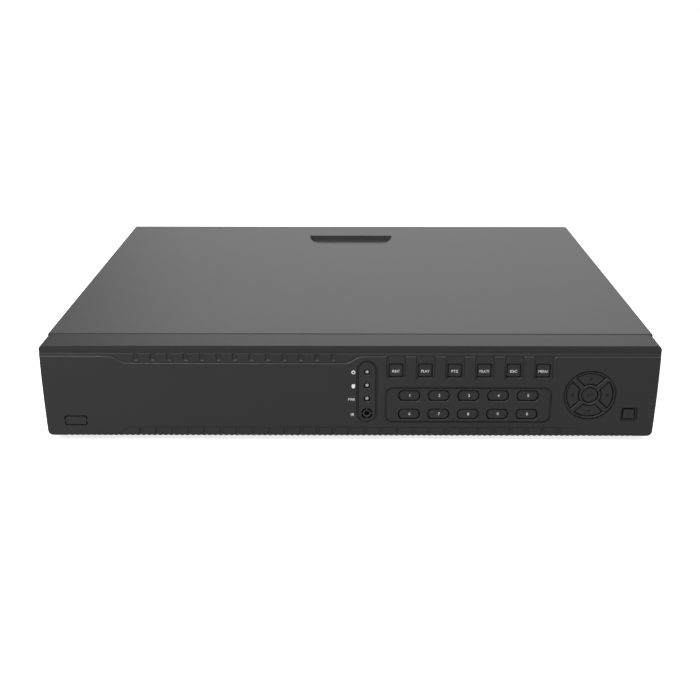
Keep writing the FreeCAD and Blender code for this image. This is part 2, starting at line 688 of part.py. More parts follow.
def base_pan():
    """Base plate folded up at the sides, at the rear and into a front wall behind the bezel."""
    side, inside = COVER_HALF - SHEET - 0.3, HALF - BEZEL_SIDE - 0.8
    fold, back = depth(BEZEL_DEPTH + 0.4), PANEL_BACK - 0.2
    sill = FLOOR + BEZEL_WALL + 0.2
    wall_y = (depth(FRONT_WALL), depth(FRONT_WALL + SHEET))
    parts = [box((-side, side), (fold, back), (FLOOR, DECK)),
             box((-inside, inside), (wall_y[0], fold + SHEET), (sill, sill + SHEET)),
             box((-inside, inside), (fold, fold + SHEET), (FLOOR, sill + SHEET)),
             box((-inside, inside), wall_y, (sill, TOP - BEZEL_WALL - 0.4)),
             box((-side, side), (back - SHEET, back), (FLOOR, FLOOR + 7.5)),
             box((-side, SHEET - side), (fold, back), (FLOOR, FLOOR + 16.0)),
             box((side - SHEET, side), (fold, back), (FLOOR, FLOOR + 16.0))]
    parts += [post(x, y, r, (DECK - 0.5, DECK + height)) for x, y, r, height in pillars()]
    through = (wall_y[0] - 1, wall_y[1] + 1)
    cuts = [box((-200.0, -102.0), through, (level(14.0), level(54.0))),
            box((-90.0, -20.0), through, (level(14.0), level(54.0))),
            box((44.0, 82.0), through, (level(6.0), level(24.0))),
            box(around(FAN_X, FAN_SIZE + 4.0), (back - 2, back + 1), (DECK + 0.2, FLOOR + 9))]
    for x in DRIVES_X + (165.0,):
        for y in (-120.0, -60.0):
            for i in range(9):
                slot_x = around(x + 9.0 * (i - 4), 3.0)
                cuts.append(rounded_box(slot_x, around(y, 34.0), (FLOOR - 1, DECK + 1), 1.4, "z"))
    cuts += [post(x, y, THREAD, (FLOOR - 1, DECK + height + 1)) for x, y, _, height in pillars()]
    cuts += [post(x, y, 1.55, (FLOOR - 1, DECK + 1)) for x, y in FEET]
    cuts += [rod(x, z, 1.2, through) for x, z in wall_posts()]
    cuts += [rod(x, PANEL_SCREW_Z, THREAD, (back - 2, back + 1)) for x in PANEL_SCREW_X]
    cuts += [Part.makeCylinder(THREAD, 3, Vector(s * (side + 1), y, z), Vector(-s, 0, 0))
             for s, y, z in side_cover_screws()]
    return without(joined(parts), cuts)


def pull_form(grow):
    """The finger recess as a solid: a disc cut off by its rear wall, its floor rising forwards."""
    radius, chord = PULL_RADIUS + grow, depth(PULL_CHORD) + grow
    centre = depth(PULL_CHORD) - PULL_OFFSET
    front = centre - PULL_RADIUS
    low = TOP - PULL_DEPTH - grow
    draft = PULL_DRAFT / PULL_DEPTH
    disc = Part.makeCone(radius - PULL_DRAFT - draft * grow, radius + draft * 2, PULL_DEPTH + grow + 2,
                         Vector(0, centre, low))
    bend_at = depth(PULL_CHORD) - PULL_FLAT
    beyond = TOP - grow + PULL_DEPTH * 12 / (bend_at - front)
    wedge = [(front - 12, beyond), (bend_at, low), (chord, low), (chord, beyond), (front - 12, beyond)]
    corners = [Vector(-60, y, z) for y, z in wedge]
    slope = Part.Face(Part.makePolygon(corners + corners[:1])).extrude(Vector(120, 0, 0))
    return disc.common(slope)


def ear_places():
    """Y of the holes for rack ears, the same on both sides."""
    return [COVER_FRONT + y for y in EAR_HOLES]


def rear_cover_screw_x():
    return (-206.0, 0.0, 206.0)


def side_cover_screws():
    return [(side, y, level(9.0)) for side in (-1, 1) for y in (-100.0, 110.0)]


def top_cover():
    """Powder-coated lid: top and sides in one sheet, a lip over the rear panel and a finger pull."""
    outer = box((-COVER_HALF, COVER_HALF), (COVER_FRONT, REAR), (FLOOR + 0.6, TOP))
    inner = box((-COVER_HALF + SHEET, COVER_HALF - SHEET), (COVER_FRONT - 1, REAR - SHEET),
                (FLOOR, TOP - SHEET))
    below = box((-COVER_HALF + SHEET, COVER_HALF - SHEET), (REAR - 2, REAR + 1),
                (FLOOR, TOP - LIP))

    def is_top_corner(edge, half, top):
        span = edge.BoundBox
        return span.YLength > 100 and abs(span.ZMin - top) < 0.01 and abs(abs(span.XMin) - half) < 0.01

    outer = outer.makeFillet(1.1, [e for e in outer.Edges if is_top_corner(e, COVER_HALF, TOP)])
    lip = [e for e in edges_at(outer, "y", REAR) if e.BoundBox.ZMin > TOP - 0.01]
    outer = outer.makeFillet(1.2, lip)
    inner = inner.makeFillet(0.6, [e for e in inner.Edges
                                   if is_top_corner(e, COVER_HALF - SHEET, TOP - SHEET)])
    shell = without(outer, [inner, below])
    ceiling = box((-60, 60), (COVER_FRONT + 100, REAR), (TOP - 15, TOP - 0.5))
    collars = [Part.makeCylinder(3.6, 3.0, Vector(s * (COVER_HALF - 0.5), y, level(EAR_Z)),
                                 Vector(-s, 0, 0)) for s in (-1, 1) for y in ear_places()]
    shell = shell.fuse([pull_form(SHEET).common(ceiling)] + collars).cut(pull_form(0.0))
    across = (-HALF - 1, HALF + 1)
    cuts = []
    for y in ear_places():
        cuts.append(Part.makeCylinder(EAR_HOLE_RADIUS, 2 * HALF + 4, Vector(-HALF - 2, y, level(EAR_Z)),
                                      Vector(1, 0, 0)))
    for row_z in (24.0, 44.0):
        for i in range(12):
            y = 20.0 + 9.0 * i
            cuts.append(rounded_box(across, around(y, 3.0), (level(row_z), level(row_z + 15)),
                                    1.4, "x"))
    cuts += [rod(x, TOP - LIP_SCREW, 1.7, (REAR - 3, REAR + 1)) for x in rear_cover_screw_x()]
    for side, y, z in side_cover_screws():
        cuts.append(Part.makeCylinder(1.7, 6, Vector(side * COVER_HALF - side * 3, y, z),
                                      Vector(side, 0, 0)))
    return without(shell, cuts)


def case_screws():
    """Black pan-head screws: through the cover's lip and sides, the panel, and for earth."""
    fastener = screw(1.4, 2.8, 1.2, 4.0)
    rear = [(x, REAR, TOP - LIP_SCREW) for x in rear_cover_screw_x()]
    rear += [(x, PANEL_FACE, PANEL_SCREW_Z) for x in PANEL_SCREW_X]
    rear.append((EARTH_X, PANEL_FACE, EARTH_Z))
    screws = [placed(fastener, place, (0, 1, 0)) for place in rear]
    screws += [placed(fastener, (side * COVER_HALF, y, z), (side, 0, 0))
               for side, y, z in side_cover_screws()]
    return group(screws)


def inner_screws():
    """Zinc-plated screws that hold the main board and the drive bracket."""
    fastener = screw(1.4, 2.8, 1.6, 4.0)
    places = [(x, y, BOARD_TOP) for x, y in main_board_holes()]
    places += [(x, y, DECK + SEAT + SHEET) for x, y in bracket_holes()]
    return group([placed(fastener, place) for place in places])


def rubber_feet():
    """Four tapered rubber feet with a recess for the screw."""
    feet = []
    for x, y in FEET:
        foot = Part.makeCone(8.6, 9.6, FOOT_HEIGHT, Vector(x, y, 0))
        foot = foot.makeFillet(0.8, edges_at(foot, "z", 0.0))
        foot = foot.cut(post(x, y, 4.2, (-1, 2.6)))
        feet.append(foot.cut(post(x, y, 1.7, (0, FOOT_HEIGHT + 1))))
    return group(feet)


def foot_screws():
    return group([placed(screw(1.5, 3.4, 1.6, 4.4), (x, y, 2.6), (0, 0, -1)) for x, y in FEET])


# ---- rear panel and its connectors ----
def coax_centres():
    return [(COAX_X - COAX_PITCH * i, level(z)) for z in COAX_Z for i in range(COAX_COLUMNS)]


def fan_corners():
    half = FAN_HOLE_SPACING / 2
    return [(FAN_X + sx * half, FAN_Z + sz * half) for sx in (-1, 1) for sz in (-1, 1)]


def rear_panel():
    """The flat steel panel, pierced for every connector, the fan, the inlet and the switch."""
    y = (PANEL_BACK - 0.5, PANEL_FACE + 0.5)
    side = COVER_HALF - SHEET - 0.3
    panel = box((-side, side), (PANEL_BACK, PANEL_FACE), (FLOOR + 0.4, TOP - SHEET - 0.2))
    cuts = [rod(x, z, 5.7, y) for x, z in coax_centres()]
    cuts += [rod(PHONO_X, level(z), 5.1, y) for z in PHONO_Z]
    cuts.append(box(around(NETWORK_X, 16.4), y, (BOARD_TOP - 0.2, BOARD_TOP + 13.9)))
    cuts.append(box(around(USB_X, 14.0), y, (BOARD_TOP - 0.2, BOARD_TOP + 16.1)))
    cuts.append(box(around(HDMI_X, 15.6), y, (BOARD_TOP - 0.2, BOARD_TOP + 6.7)))
    cuts.append(box(around(VGA_X, 19.0), y, around(BOARD_TOP + 6.6, 10.0)))
    cuts.append(box(around(TERMINAL_X, TERMINAL_WAYS * TERMINAL_PITCH + 2.4), y,
                    (BOARD_TOP - 0.2, BOARD_TOP + 11.4)))
    cuts.append(rod(FAN_X, FAN_Z, FAN_BORE, y))
    cuts += [rod(x, z, 2.2, y) for x, z in fan_corners()]
    cuts.append(box(around(INLET_X, 27.4), y, around(level(INLET_Z), 20.4)))
    cuts.append(box(around(ROCKER_X, 19.6), y, around(level(ROCKER_Z), 13.4)))
    cuts += [rod(x, TOP - LIP_SCREW, THREAD, y) for x in rear_cover_screw_x()]
    cuts += [rod(x, PANEL_SCREW_Z, 1.6, y) for x in PANEL_SCREW_X]
    cuts.append(rod(EARTH_X, EARTH_Z, THREAD, y))
    cuts += [rod(VGA_X + side * 12.5, BOARD_TOP + 6.6, 1.7, y) for side in (-1, 1)]
    cuts += [rounded_box(around(-110.0 + 6.4 * (i - 14.5), 2.6), y, (level(53.0), level(61.0)), 1.2)
             for i in range(30)]
    return without(panel, cuts)


def jack_shells():
    """Plated bayonet barrels, each with two side lugs and a round shoulder, and two phono barrels."""
    end = PANEL_FACE + JACK_REACH + 1.2
    shells = []
    for x, z in coax_centres():
        barrel = rod(x, z, 4.85, (PANEL_BACK - 8.0, end))
        barrel = barrel.makeFillet(0.5, edges_at(barrel, "y", end))
        collar = rod(x, z, 5.5, (PANEL_BACK - 3.0, PANEL_FACE + 2.4))
        collar = collar.makeFillet(0.4, edges_at(collar, "y", PANEL_FACE + 2.4))
        lugs = Part.makeCylinder(0.95, 11.2, Vector(x - 5.6, end - 5.0, z), Vector(1, 0, 0))
        shell = joined([barrel, collar, lugs])
        shells.append(shell.cut(rod(x, z, 4.05, (PANEL_FACE - 1.0, end + 1))))
    end = PANEL_FACE + 8.6
    for z in PHONO_Z:
        barrel = rod(PHONO_X, level(z), 4.15, (PANEL_FACE - 0.5, end))
        barrel = barrel.makeFillet(0.4, edges_at(barrel, "y", end))
        shells.append(barrel.cut(rod(PHONO_X, level(z), 3.5, (PANEL_FACE - 1, end + 1))))
    return group(shells)


def coax_insulators():
    """The white sleeve round each centre contact."""
    parts = []
    for x, z in coax_centres():
        base = rod(x, z, 3.95, (PANEL_FACE - 1.0, PANEL_FACE + 2.0))
        sleeve = rod(x, z, 2.35, (PANEL_FACE + 1.5, PANEL_FACE + JACK_REACH - 0.6))
        parts.append(base.fuse(sleeve).cut(rod(x, z, 1.1, (PANEL_FACE - 2, REAR + 20))))
    return group(parts)


def coax_contacts():
    """Split brass sockets in the middle of the jacks."""
    end = PANEL_FACE + JACK_REACH - 1.0
    return group([rod(x, z, 1.05, (PANEL_FACE - 1.0, end)).cut(
        rod(x, z, 0.55, (end - 6.0, end + 1))) for x, z in coax_centres()])


def jack_housings():
    """The black mouldings that stack the jacks on the main board."""
    x = (COAX_X - COAX_PITCH * (COAX_COLUMNS - 1) - 7.0, COAX_X + 7.0)
    body = box(x, (PANEL_BACK - 20.0, PANEL_BACK - 0.4), (BOARD_TOP, level(COAX_Z[1] + 8.0)))
    cuts = [rod(a, b, 5.55, (PANEL_BACK - 3.1, PANEL_BACK + 1)) for a, b in coax_centres()]
    cuts += [rod(a, b, 4.9, (PANEL_BACK - 8.1, PANEL_BACK + 1)) for a, b in coax_centres()]
    phono = box(around(PHONO_X, 11.6), (PANEL_BACK - 12.0, PANEL_BACK - 0.5),
                (BOARD_TOP, level(PHONO_Z[1] + 6.0)))
    return group([without(body, cuts), phono])


def phono_inserts():
    """The coloured collar and socket of each phono jack, with its housing inside."""
    parts = []
    for z in PHONO_Z:
        place = (PHONO_X, level(z))
        collar = rod(*place, 5.0, (PANEL_BACK - 0.5, PANEL_FACE + 1.2)).cut(
            rod(*place, 4.2, (PANEL_FACE - 0.6, PANEL_FACE + 2)))
        core = rod(*place, 3.45, (PANEL_FACE - 0.7, PANEL_FACE + 8.0)).cut(
            rod(*place, 1.6, (PANEL_FACE, PANEL_FACE + 9)))
        parts.append(joined([collar, core]))
    return group(parts)


def network_port():
    """Shielded network socket: an open box with a notch for the latch."""
    x, z = around(NETWORK_X, 15.8), (BOARD_TOP, BOARD_TOP + 13.4)
    body = rounded_box(x, (PANEL_BACK - 14.0, PANEL_FACE + 1.0), z, 0.4)
    mouth = box(around(NETWORK_X, 11.8), (PANEL_BACK - 9.0, PANEL_FACE + 2), (z[0] + 3.6, z[1] - 2.0))
    latch = box(around(NETWORK_X, 6.2), (PANEL_BACK - 9.0, PANEL_FACE + 2), (z[0] + 1.2, z[0] + 4))
    lamps = [box(around(NETWORK_X + s * 5.6, 2.6), (PANEL_FACE + 0.4, PANEL_FACE + 2),
                 (z[0] + 0.9, z[0] + 2.7)) for s in (-1, 1)]
    return without(body, [mouth, latch] + lamps)


def usb_stack():
    """Two stacked service sockets, each with its tongue."""
    z0 = BOARD_TOP
    body = rounded_box(around(USB_X, 13.4), (PANEL_BACK - 14.0, PANEL_FACE + 1.0),
                       (z0, z0 + 15.6), 0.4)
    mouths = [box(around(USB_X, 12.4), (PANEL_BACK - 9.0, PANEL_FACE + 2), (z0 + low, z0 + low + 5.1))
              for low in (1.5, 9.0)]
    tongues = [box(around(USB_X, 11.0), (PANEL_BACK - 9.5, PANEL_FACE - 0.6),
                   (z0 + low, z0 + low + 1.8)) for low in (4.3, 11.8)]
    return joined([without(body, mouths)] + tongues)


def hdmi_port():
    """Display socket: a tapered metal mouth with a tongue."""
    z0, y = BOARD_TOP, (PANEL_BACK - 12.0, PANEL_FACE + 0.8)

    def mouth_outline(half, low, high, taper):
        points = [(HDMI_X - half, high), (HDMI_X + half, high), (HDMI_X + half, low + taper),
                  (HDMI_X + half - taper, low), (HDMI_X - half + taper, low),
                  (HDMI_X - half, low + taper)]
        return [line(a, b) for a, b in zip(points, points[1:] + points[:1])]

    shell = prism(mouth_outline(7.5, z0 + 0.1, z0 + 6.3, 1.8), y)
    shell = shell.cut(prism(mouth_outline(7.0, z0 + 0.6, z0 + 5.8, 1.6), (PANEL_BACK - 8.0, y[1] + 1)))
    tongue = box(around(HDMI_X, 11.0), (PANEL_BACK - 8.5, PANEL_FACE - 0.4), (z0 + 2.9, z0 + 4.1))
    return shell.fuse(tongue)


def vga_outline(half, z, height, slope):
    points = [(VGA_X - half, z + height / 2), (VGA_X + half, z + height / 2),
              (VGA_X + half - slope, z - height / 2), (VGA_X - half + slope, z - height / 2)]
    return [line(a, b) for a, b in zip(points, points[1:] + points[:1])]


def vga_shell():
    """Monitor socket: a flange with a D-shaped collar."""
    z = BOARD_TOP + 6.6
    flange = rounded_box(around(VGA_X, 30.8), (PANEL_FACE + 0.05, PANEL_FACE + 0.9), around(z, 12.4), 1.5)
    collar = prism(vga_outline(8.4, z, 8.2, 1.0), (PANEL_BACK - 5.0, PANEL_FACE + 5.8))
    body = box(around(VGA_X, 19.0), (PANEL_BACK - 12.0, PANEL_BACK - 4.0), (BOARD_TOP, z + 5.5))
    hollow = prism(vga_outline(7.9, z, 7.2, 0.95), (PANEL_BACK - 4.9, PANEL_FACE + 7.0))
    holes = [rod(VGA_X + s * 12.5, z, 1.6, (PANEL_FACE - 1, PANEL_FACE + 2)) for s in (-1, 1)]
    return without(joined([flange, collar, body]), [hollow] + holes)


def vga_insert():
    """The blue contact block, with three rows of five holes."""
    z = BOARD_TOP + 6.6
    body = prism(vga_outline(7.8, z, 7.0, 0.95), (PANEL_BACK - 4.9, PANEL_FACE + 5.4))
    holes = [rod(VGA_X + 2.29 * (i - 2) + shift, z + dz, 0.5, (PANEL_FACE + 1, PANEL_FACE + 7))
             for dz, shift in ((1.98, 0.5), (0.0, -0.4), (-1.98, 0.2)) for i in range(5)]
    return without(body, holes)


def vga_posts():
    """The two hexagonal jack posts."""
    posts = []
    for side in (-1, 1):
        place = Vector(VGA_X + side * 12.5, PANEL_FACE + 0.9, BOARD_TOP + 6.6)
        corners = [place + Vector(2.75 * math.cos(math.radians(60 * i)), 0,
                                  2.75 * math.sin(math.radians(60 * i))) for i in range(7)]
        nut = Part.Face(Part.makePolygon(corners)).extrude(Vector(0, 4.6, 0))
        shank = rod(place.x, place.z, 1.5, (PANEL_BACK - 2.0, place.y + 0.5))
        posts.append(nut.fuse(shank).cut(rod(place.x, place.z, 1.2, (place.y + 0.8, place.y + 6))))
    return posts


def port_shields():
    """Nickel-plated sockets: network, two stacked service ports, display and monitor."""
    return group([network_port(), usb_stack(), hdmi_port(), vga_shell()] + vga_posts())


def terminal_block():
    """Green screw terminals for alarms and serial control."""
    width = TERMINAL_WAYS * TERMINAL_PITCH + 1.6
    x, z0 = around(TERMINAL_X, width), BOARD_TOP
    body = box(x, (PANEL_BACK - 8.0, PANEL_FACE + 7.5), (z0, z0 + 11.0))
    ledge = box((x[0] - 1, x[1] + 1), (PANEL_FACE + 4.0, PANEL_FACE + 9), (z0 + 8.2, z0 + 12))
    cuts = [ledge]
    for wx in terminal_ways():
        cuts.append(box(around(wx, 2.5), (PANEL_FACE + 2.0, PANEL_FACE + 9), (z0 + 1.4, z0 + 4.6)))
        cuts.append(post(wx, PANEL_FACE + 1.9, 1.35, (z0 + 7.0, z0 + 12.0)))
    return without(body, cuts)


def terminal_ways():
    first = TERMINAL_X - TERMINAL_PITCH * (TERMINAL_WAYS - 1) / 2
    return [first + TERMINAL_PITCH * i for i in range(TERMINAL_WAYS)]


def terminal_screws():
    """A slotted screw over each terminal."""
    heads = []
    for x in terminal_ways():
        head = post(x, PANEL_FACE + 1.9, 1.25, (BOARD_TOP + 7.0, BOARD_TOP + 10.2))
        heads.append(head.cut(box(around(x, 3), around(PANEL_FACE + 1.9, 0.5),
                                  (BOARD_TOP + 9.6, BOARD_TOP + 11))))
    return group(heads)


# ---- mains inlet and rocker switch ----
def mains_inlet():
    """Three-pin appliance inlet with a bevelled flange and a keyed hollow."""
    x, z = INLET_X, level(INLET_Z)
    flange = rounded_box(around(x, 31.0), (PANEL_FACE + 0.05, PANEL_FACE + 2.6), around(z, 24.4), 2.5)
    flange = flange.makeChamfer(0.9, edges_at(flange, "y", PANEL_FACE + 2.6))
    body = box(around(x, 27.0), (PANEL_BACK - 20.0, PANEL_FACE + 1.0), around(z, 20.0))
    half, up, down, key_way = 11.6, 7.9, 7.9, 4.2
    points = [(x - half, z - down), (x + half, z - down), (x + half, z + up - key_way),
              (x + half - key_way, z + up), (x - half + key_way, z + up), (x - half, z + up - key_way)]
    hollow = prism([line(a, b) for a, b in zip(points, points[1:] + points[:1])],
                   (PANEL_BACK - 14.0, PANEL_FACE + 3))
    blades = [box(*blade) for blade in blade_boxes(0.1)]
    return without(flange.fuse(body), [hollow] + blades)


def blade_boxes(grow):
    """The X, Y and Z spans of the three blades, each made wider by grow."""
    x, z = INLET_X, level(INLET_Z)
    y = (PANEL_BACK - 24.0, PANEL_FACE - 1.0)
    return [(around(x + dx, 2.0 + grow), y, around(z + dz, 4.0 + grow))
            for dx, dz in ((-7.0, -1.6), (7.0, -1.6), (0.0, 3.4))]


def inlet_pins():
    """Line, neutral and earth blades."""
    return group([box(*blade) for blade in blade_boxes(0.0)])


def rocker_frame():
    """The snap-in frame of the power switch."""
    x, z = ROCKER_X, level(ROCKER_Z)
    rim = rounded_box(around(x, 21.4), (PANEL_FACE + 0.05, PANEL_FACE + 2.0), around(z, 15.2), 1.2)
    rim = rim.makeFillet(0.6, edges_at(rim, "y", PANEL_FACE + 2.0))
    body = box(around(x, 19.0), (PANEL_BACK - 14.0, PANEL_FACE + 1.0), around(z, 13.0))
    well = box(around(x, 17.0), (PANEL_BACK - 10.0, PANEL_FACE + 3.0), around(z, 11.0))
    return rim.fuse(body).cut(well)


def rocker_pivot():
    return Vector(ROCKER_X, PANEL_FACE - 3.0, level(ROCKER_Z))


def rocker():
    """The rocker: a shallow V in plan, leaning towards its off side at rest."""
    pivot = rocker_pivot()
    half, height = 7.6, 10.4
    lift = half * math.tan(math.radians(ROCKER_LEAN))
    outline = [(-half, 4.6 + lift), (0.0, 4.6), (half, 4.6 + lift), (half - 1.2, -1.0),
               (2.5, -3.2), (-2.5, -3.2), (1.2 - half, -1.0)]
    corners = [Vector(pivot.x + dx, pivot.y + dy, pivot.z - height / 2) for dx, dy in outline]
    body = Part.Face(Part.makePolygon(corners + corners[:1])).extrude(Vector(0, 0, height))
    body = body.makeFillet(0.4, [e for e in body.Edges if e.BoundBox.YMin > pivot.y + 4.5])
    body.rotate(pivot, Vector(0, 0, 1), ROCKER_LEAN)
    return body


# ---- fan ----
def fan_frame():
    """Square fan frame with a round bore, four screw holes and a spider for the motor."""
    y = (PANEL_BACK - 0.3 - FAN_DEPTH, PANEL_BACK - 0.3)
    frame = rounded_box(around(FAN_X, FAN_SIZE), y, around(FAN_Z, FAN_SIZE), 4.0)
    cuts = [rod(FAN_X, FAN_Z, FAN_BORE, (y[0] - 1, y[1] + 1))]
    cuts += [rod(x, z, 2.15, (y[0] - 1, y[1] + 1)) for x, z in fan_corners()]
    frame = without(frame, cuts)
    seat = rod(FAN_X, FAN_Z, 13.0, (y[0], y[0] + 2.0)).cut(rod(FAN_X, FAN_Z, 1.55, (y[0] - 1, y[0] + 3)))
    struts = []
    for i in range(4):
        strut = box(around(FAN_X, 2.4), (y[0], y[0] + 1.6), (FAN_Z + 12.0, FAN_Z + FAN_BORE + 0.8))
        strut.rotate(Vector(FAN_X, 0, FAN_Z), Vector(0, 1, 0), 45 + 90 * i)
        struts.append(strut)
    return joined([frame, seat] + struts)


def fan_rotor():
    """Hub with seven pitched blades, turning on a steel shaft in the motor seat."""
    y0 = PANEL_BACK - 0.3 - FAN_DEPTH
    hub = rod(FAN_X, FAN_Z, 12.6, (y0 + 2.5, y0 + FAN_DEPTH - 0.8))
    hub = hub.makeFillet(1.0, edges_at(hub, "y", y0 + FAN_DEPTH - 0.8))
    shaft = rod(FAN_X, FAN_Z, 1.5, (y0 + 0.1, y0 + 3.0))
    band = rod(FAN_X, FAN_Z, FAN_BORE - 0.9, (y0 + 3.2, y0 + FAN_DEPTH - 2.4)).cut(
        rod(FAN_X, FAN_Z, 12.0, (y0 + 2.0, y0 + FAN_DEPTH)))
    blades = []
    for i in range(7):
        blade = box(around(FAN_X, 1.3), (y0 - 4.0, y0 + FAN_DEPTH + 4.0), (FAN_Z + 11.0, FAN_Z + 32.0))
        blade.rotate(Vector(FAN_X, y0 + FAN_DEPTH / 2, FAN_Z), Vector(0, 0, 1), 42)
        blade.rotate(Vector(FAN_X, 0, FAN_Z), Vector(0, 1, 0), 360 / 7 * i)
        blades.append(blade.common(band))
    return joined([hub, shaft] + blades)


def fan_guard():
    """Bright wire guard: four rings on four wires, with an eye at each corner."""
    wire, plane = 0.8, PANEL_FACE + 2.6
    centre, axis = Vector(FAN_X, plane, FAN_Z), Vector(0, 1, 0)
    parts = [Part.makeTorus(radius, wire, centre, axis) for radius in (7.0, 13.5, 20.0, 26.5)]
    for i in range(4):
        ray = Part.makeCylinder(wire, 24.8, Vector(FAN_X, plane - 1.3, FAN_Z + 6.5), Vector(0, 0, 1))
        eye = Part.makeTorus(3.7, wire, Vector(FAN_X, PANEL_FACE + wire, FAN_Z
                                               + FAN_HOLE_SPACING / math.sqrt(2)), axis)
        for part in (ray, eye):
            part.rotate(Vector(FAN_X, 0, FAN_Z), Vector(0, 1, 0), 45 + 90 * i)
            parts.append(part)
    return joined(parts)


def fan_screws():
    fastener = screw(1.9, 3.9, 2.0, 14.0)
    return group([placed(fastener, (x, PANEL_FACE + 1.6, z), (0, 1, 0)) for x, z in fan_corners()])


# ---- inside the case ----
def main_board():
    """The main circuit board, with holes for its screws."""
    (x0, x1), (y0, y1) = MAIN_BOARD
    board = box((x0, x1), (y0, y1), (MAIN_BOARD_Z, BOARD_TOP))
    socket = ribbon_socket((22.0, 27.0), (BOARD_TOP - 0.2, BOARD_TOP + 6.0))
    board = joined([board, socket] + chips() + capacitors())
    return without(board, [post(x, y, 1.7, (MAIN_BOARD_Z - 1, BOARD_TOP + 1))
                           for x, y in main_board_holes()])


def main_board_holes():
    return [(x, y) for x in (-206.0, -60.0, 98.0) for y in (24.0, 130.0)]


def chips():
    """The processor, its memory and the video decoders on the main board."""
    low = BOARD_TOP - 0.2
    parts = [box(around(-10.0, 31.0), around(88.0, 31.0), (low, BOARD_TOP + 2.2))]
    parts += [box(around(-10.0 + dx, 10.0), around(58.0, 13.0), (low, BOARD_TOP + 1.2))
              for dx in (-18.0, -6.0, 6.0, 18.0)]
    parts += [box(around(x, 14.0), around(112.0, 14.0), (low, BOARD_TOP + 1.4))
              for x in (-120.0, -96.0, -72.0, -48.0)]
    return parts


def heatsink():
    """Finned aluminium block on the processor."""
    x, y, z = around(-10.0, 40.0), around(88.0, 40.0), BOARD_TOP + 2.2
    parts = [box(x, y, (z, z + 3.0))]
    parts += [box((x[0] + 4.2 * i, x[0] + 4.2 * i + 1.4), y, (z + 2.5, z + 17.0)) for i in range(10)]
    return joined(parts)


def capacitors():
    """Upright electrolytic cans near the supply connector."""
    cans = []
    for x, y, radius, height in ((92.0, 60.0, 5.0, 16.0), (92.0, 74.0, 5.0, 16.0),
                                 (78.0, 60.0, 4.0, 12.0), (78.0, 72.0, 4.0, 12.0),
                                 (-190.0, 60.0, 4.0, 12.0), (-190.0, 72.0, 4.0, 12.0)):
        can = post(x, y, radius, (BOARD_TOP - 0.2, BOARD_TOP + height))
        cans.append(can.makeFillet(0.8, edges_at(can, "z", BOARD_TOP + height)))
    return cans


def hard_drive(x):
    """A 3.5 inch drive: a cast body with a stepped lid, a recess on top and a hollow underside."""
    width, length, height = DRIVE_SIZE
    z0 = DECK + 14.0
    body = rounded_box(around(x, width), (DRIVE_FRONT, DRIVE_FRONT + length), (z0, z0 + height - 1.5),
                       3.0, "z")
    lid = rounded_box(around(x, width - 6), (DRIVE_FRONT + 4, DRIVE_FRONT + length - 10),
                      (z0 + height - 2.5, z0 + height), 8.0, "z")
    sockets = box(around(x - 20.0, 34.0), (DRIVE_FRONT + length - 5, DRIVE_FRONT + length + 1),
                  (z0 + 1.5, z0 + 7.5))
    rim = post(x + 8.0, DRIVE_FRONT + 96.0, 36.0, (z0 + height - 0.8, z0 + height + 1))
    underside = box(around(x, width - 10.0), (DRIVE_FRONT + 6, DRIVE_FRONT + length - 12),
                    (z0 - 1, z0 + 9.5))
    return without(joined([body, lid]), [sockets, rim, underside])


def hard_drives():
    """Two drives side by side on the bracket."""
    return group([hard_drive(x) for x in DRIVES_X])


def bracket_span():
    return (DRIVES_X[0] - 54.0, DRIVES_X[1] + 54.0)


def bracket_holes():
    x = bracket_span()
    return [(hx, hy) for hx in (x[0] - 4.5, x[1] + 4.5)
            for hy in (DRIVE_FRONT + 22.0, DRIVE_FRONT + 124.0)]


def drive_bracket():
    """The folded tray that carries both drives over the base plate."""
    x = bracket_span()
    y = (DRIVE_FRONT + 8.0, DRIVE_FRONT + 139.0)
    foot = (DECK + SEAT, DECK + SEAT + SHEET)
    parts = [box(x, y, (DECK + 13.0, DECK + 14.0)),
             box((x[0], x[0] + SHEET), y, (foot[0], DECK + 14.0)),
             box((x[1] - SHEET, x[1]), y, (foot[0], DECK + 14.0)),
             box((x[0] - 9.0, x[0] + SHEET), y, foot),
             box((x[1] - SHEET, x[1] + 9.0), y, foot)]
    cuts = [rounded_box(around(dx, 74.0), (y[0] + 22.0, y[1] - 22.0),
                        (DECK + 11, DECK + 16), 8.0, "z") for dx in DRIVES_X]
    cuts += [post(hx, hy, 1.6, (DECK + 1, DECK + 5)) for hx, hy in bracket_holes()]
    return without(joined(parts), cuts)


def supply_cage():
    """Perforated steel cage of the mains power supply."""
    x, y, z = SUPPLY
    cage = box(x, y, z).cut(box((x[0] + SHEET, x[1] - SHEET), (y[0] + SHEET, y[1] - SHEET),
                                (z[0] + SHEET, z[1] - SHEET)))
    holes = []
    for i in range(7):
        for j in range(12):
            holes.append(post(x[0] + 11.0 + 12.0 * i, y[0] + 5.0 + 12.0 * j, 3.0,
                              (z[1] - 2, z[1] + 1)))
    return without(cage, holes)


def supply_board():
    """The supply's board with its transformer, choke and reservoir capacitors."""
    x, y, z = SUPPLY
    deck = z[0] + 5.0
    parts = [box((x[0] + 3, x[1] - 3), (y[0] + 3, y[1] - 3), (z[0] + 3.4, deck)),
             box((x[0] + 40, x[0] + 70), (y[0] + 60, y[0] + 92), (deck - 0.5, deck + 26)),
             box((x[0] + 12, x[0] + 32), (y[0] + 20, y[0] + 40), (deck - 0.5, deck + 18)),
             post(x[0] + 26, y[0] + 100, 10, (deck - 0.5, deck + 28)),
             post(x[0] + 26, y[0] + 124, 8, (deck - 0.5, deck + 24))]
    parts += [post(px, py, 2.5, (z[0] + SHEET, deck - 1)) for px in (x[0] + 9, x[1] - 9)
              for py in (y[0] + 9, y[1] - 9)]
    return joined(parts)


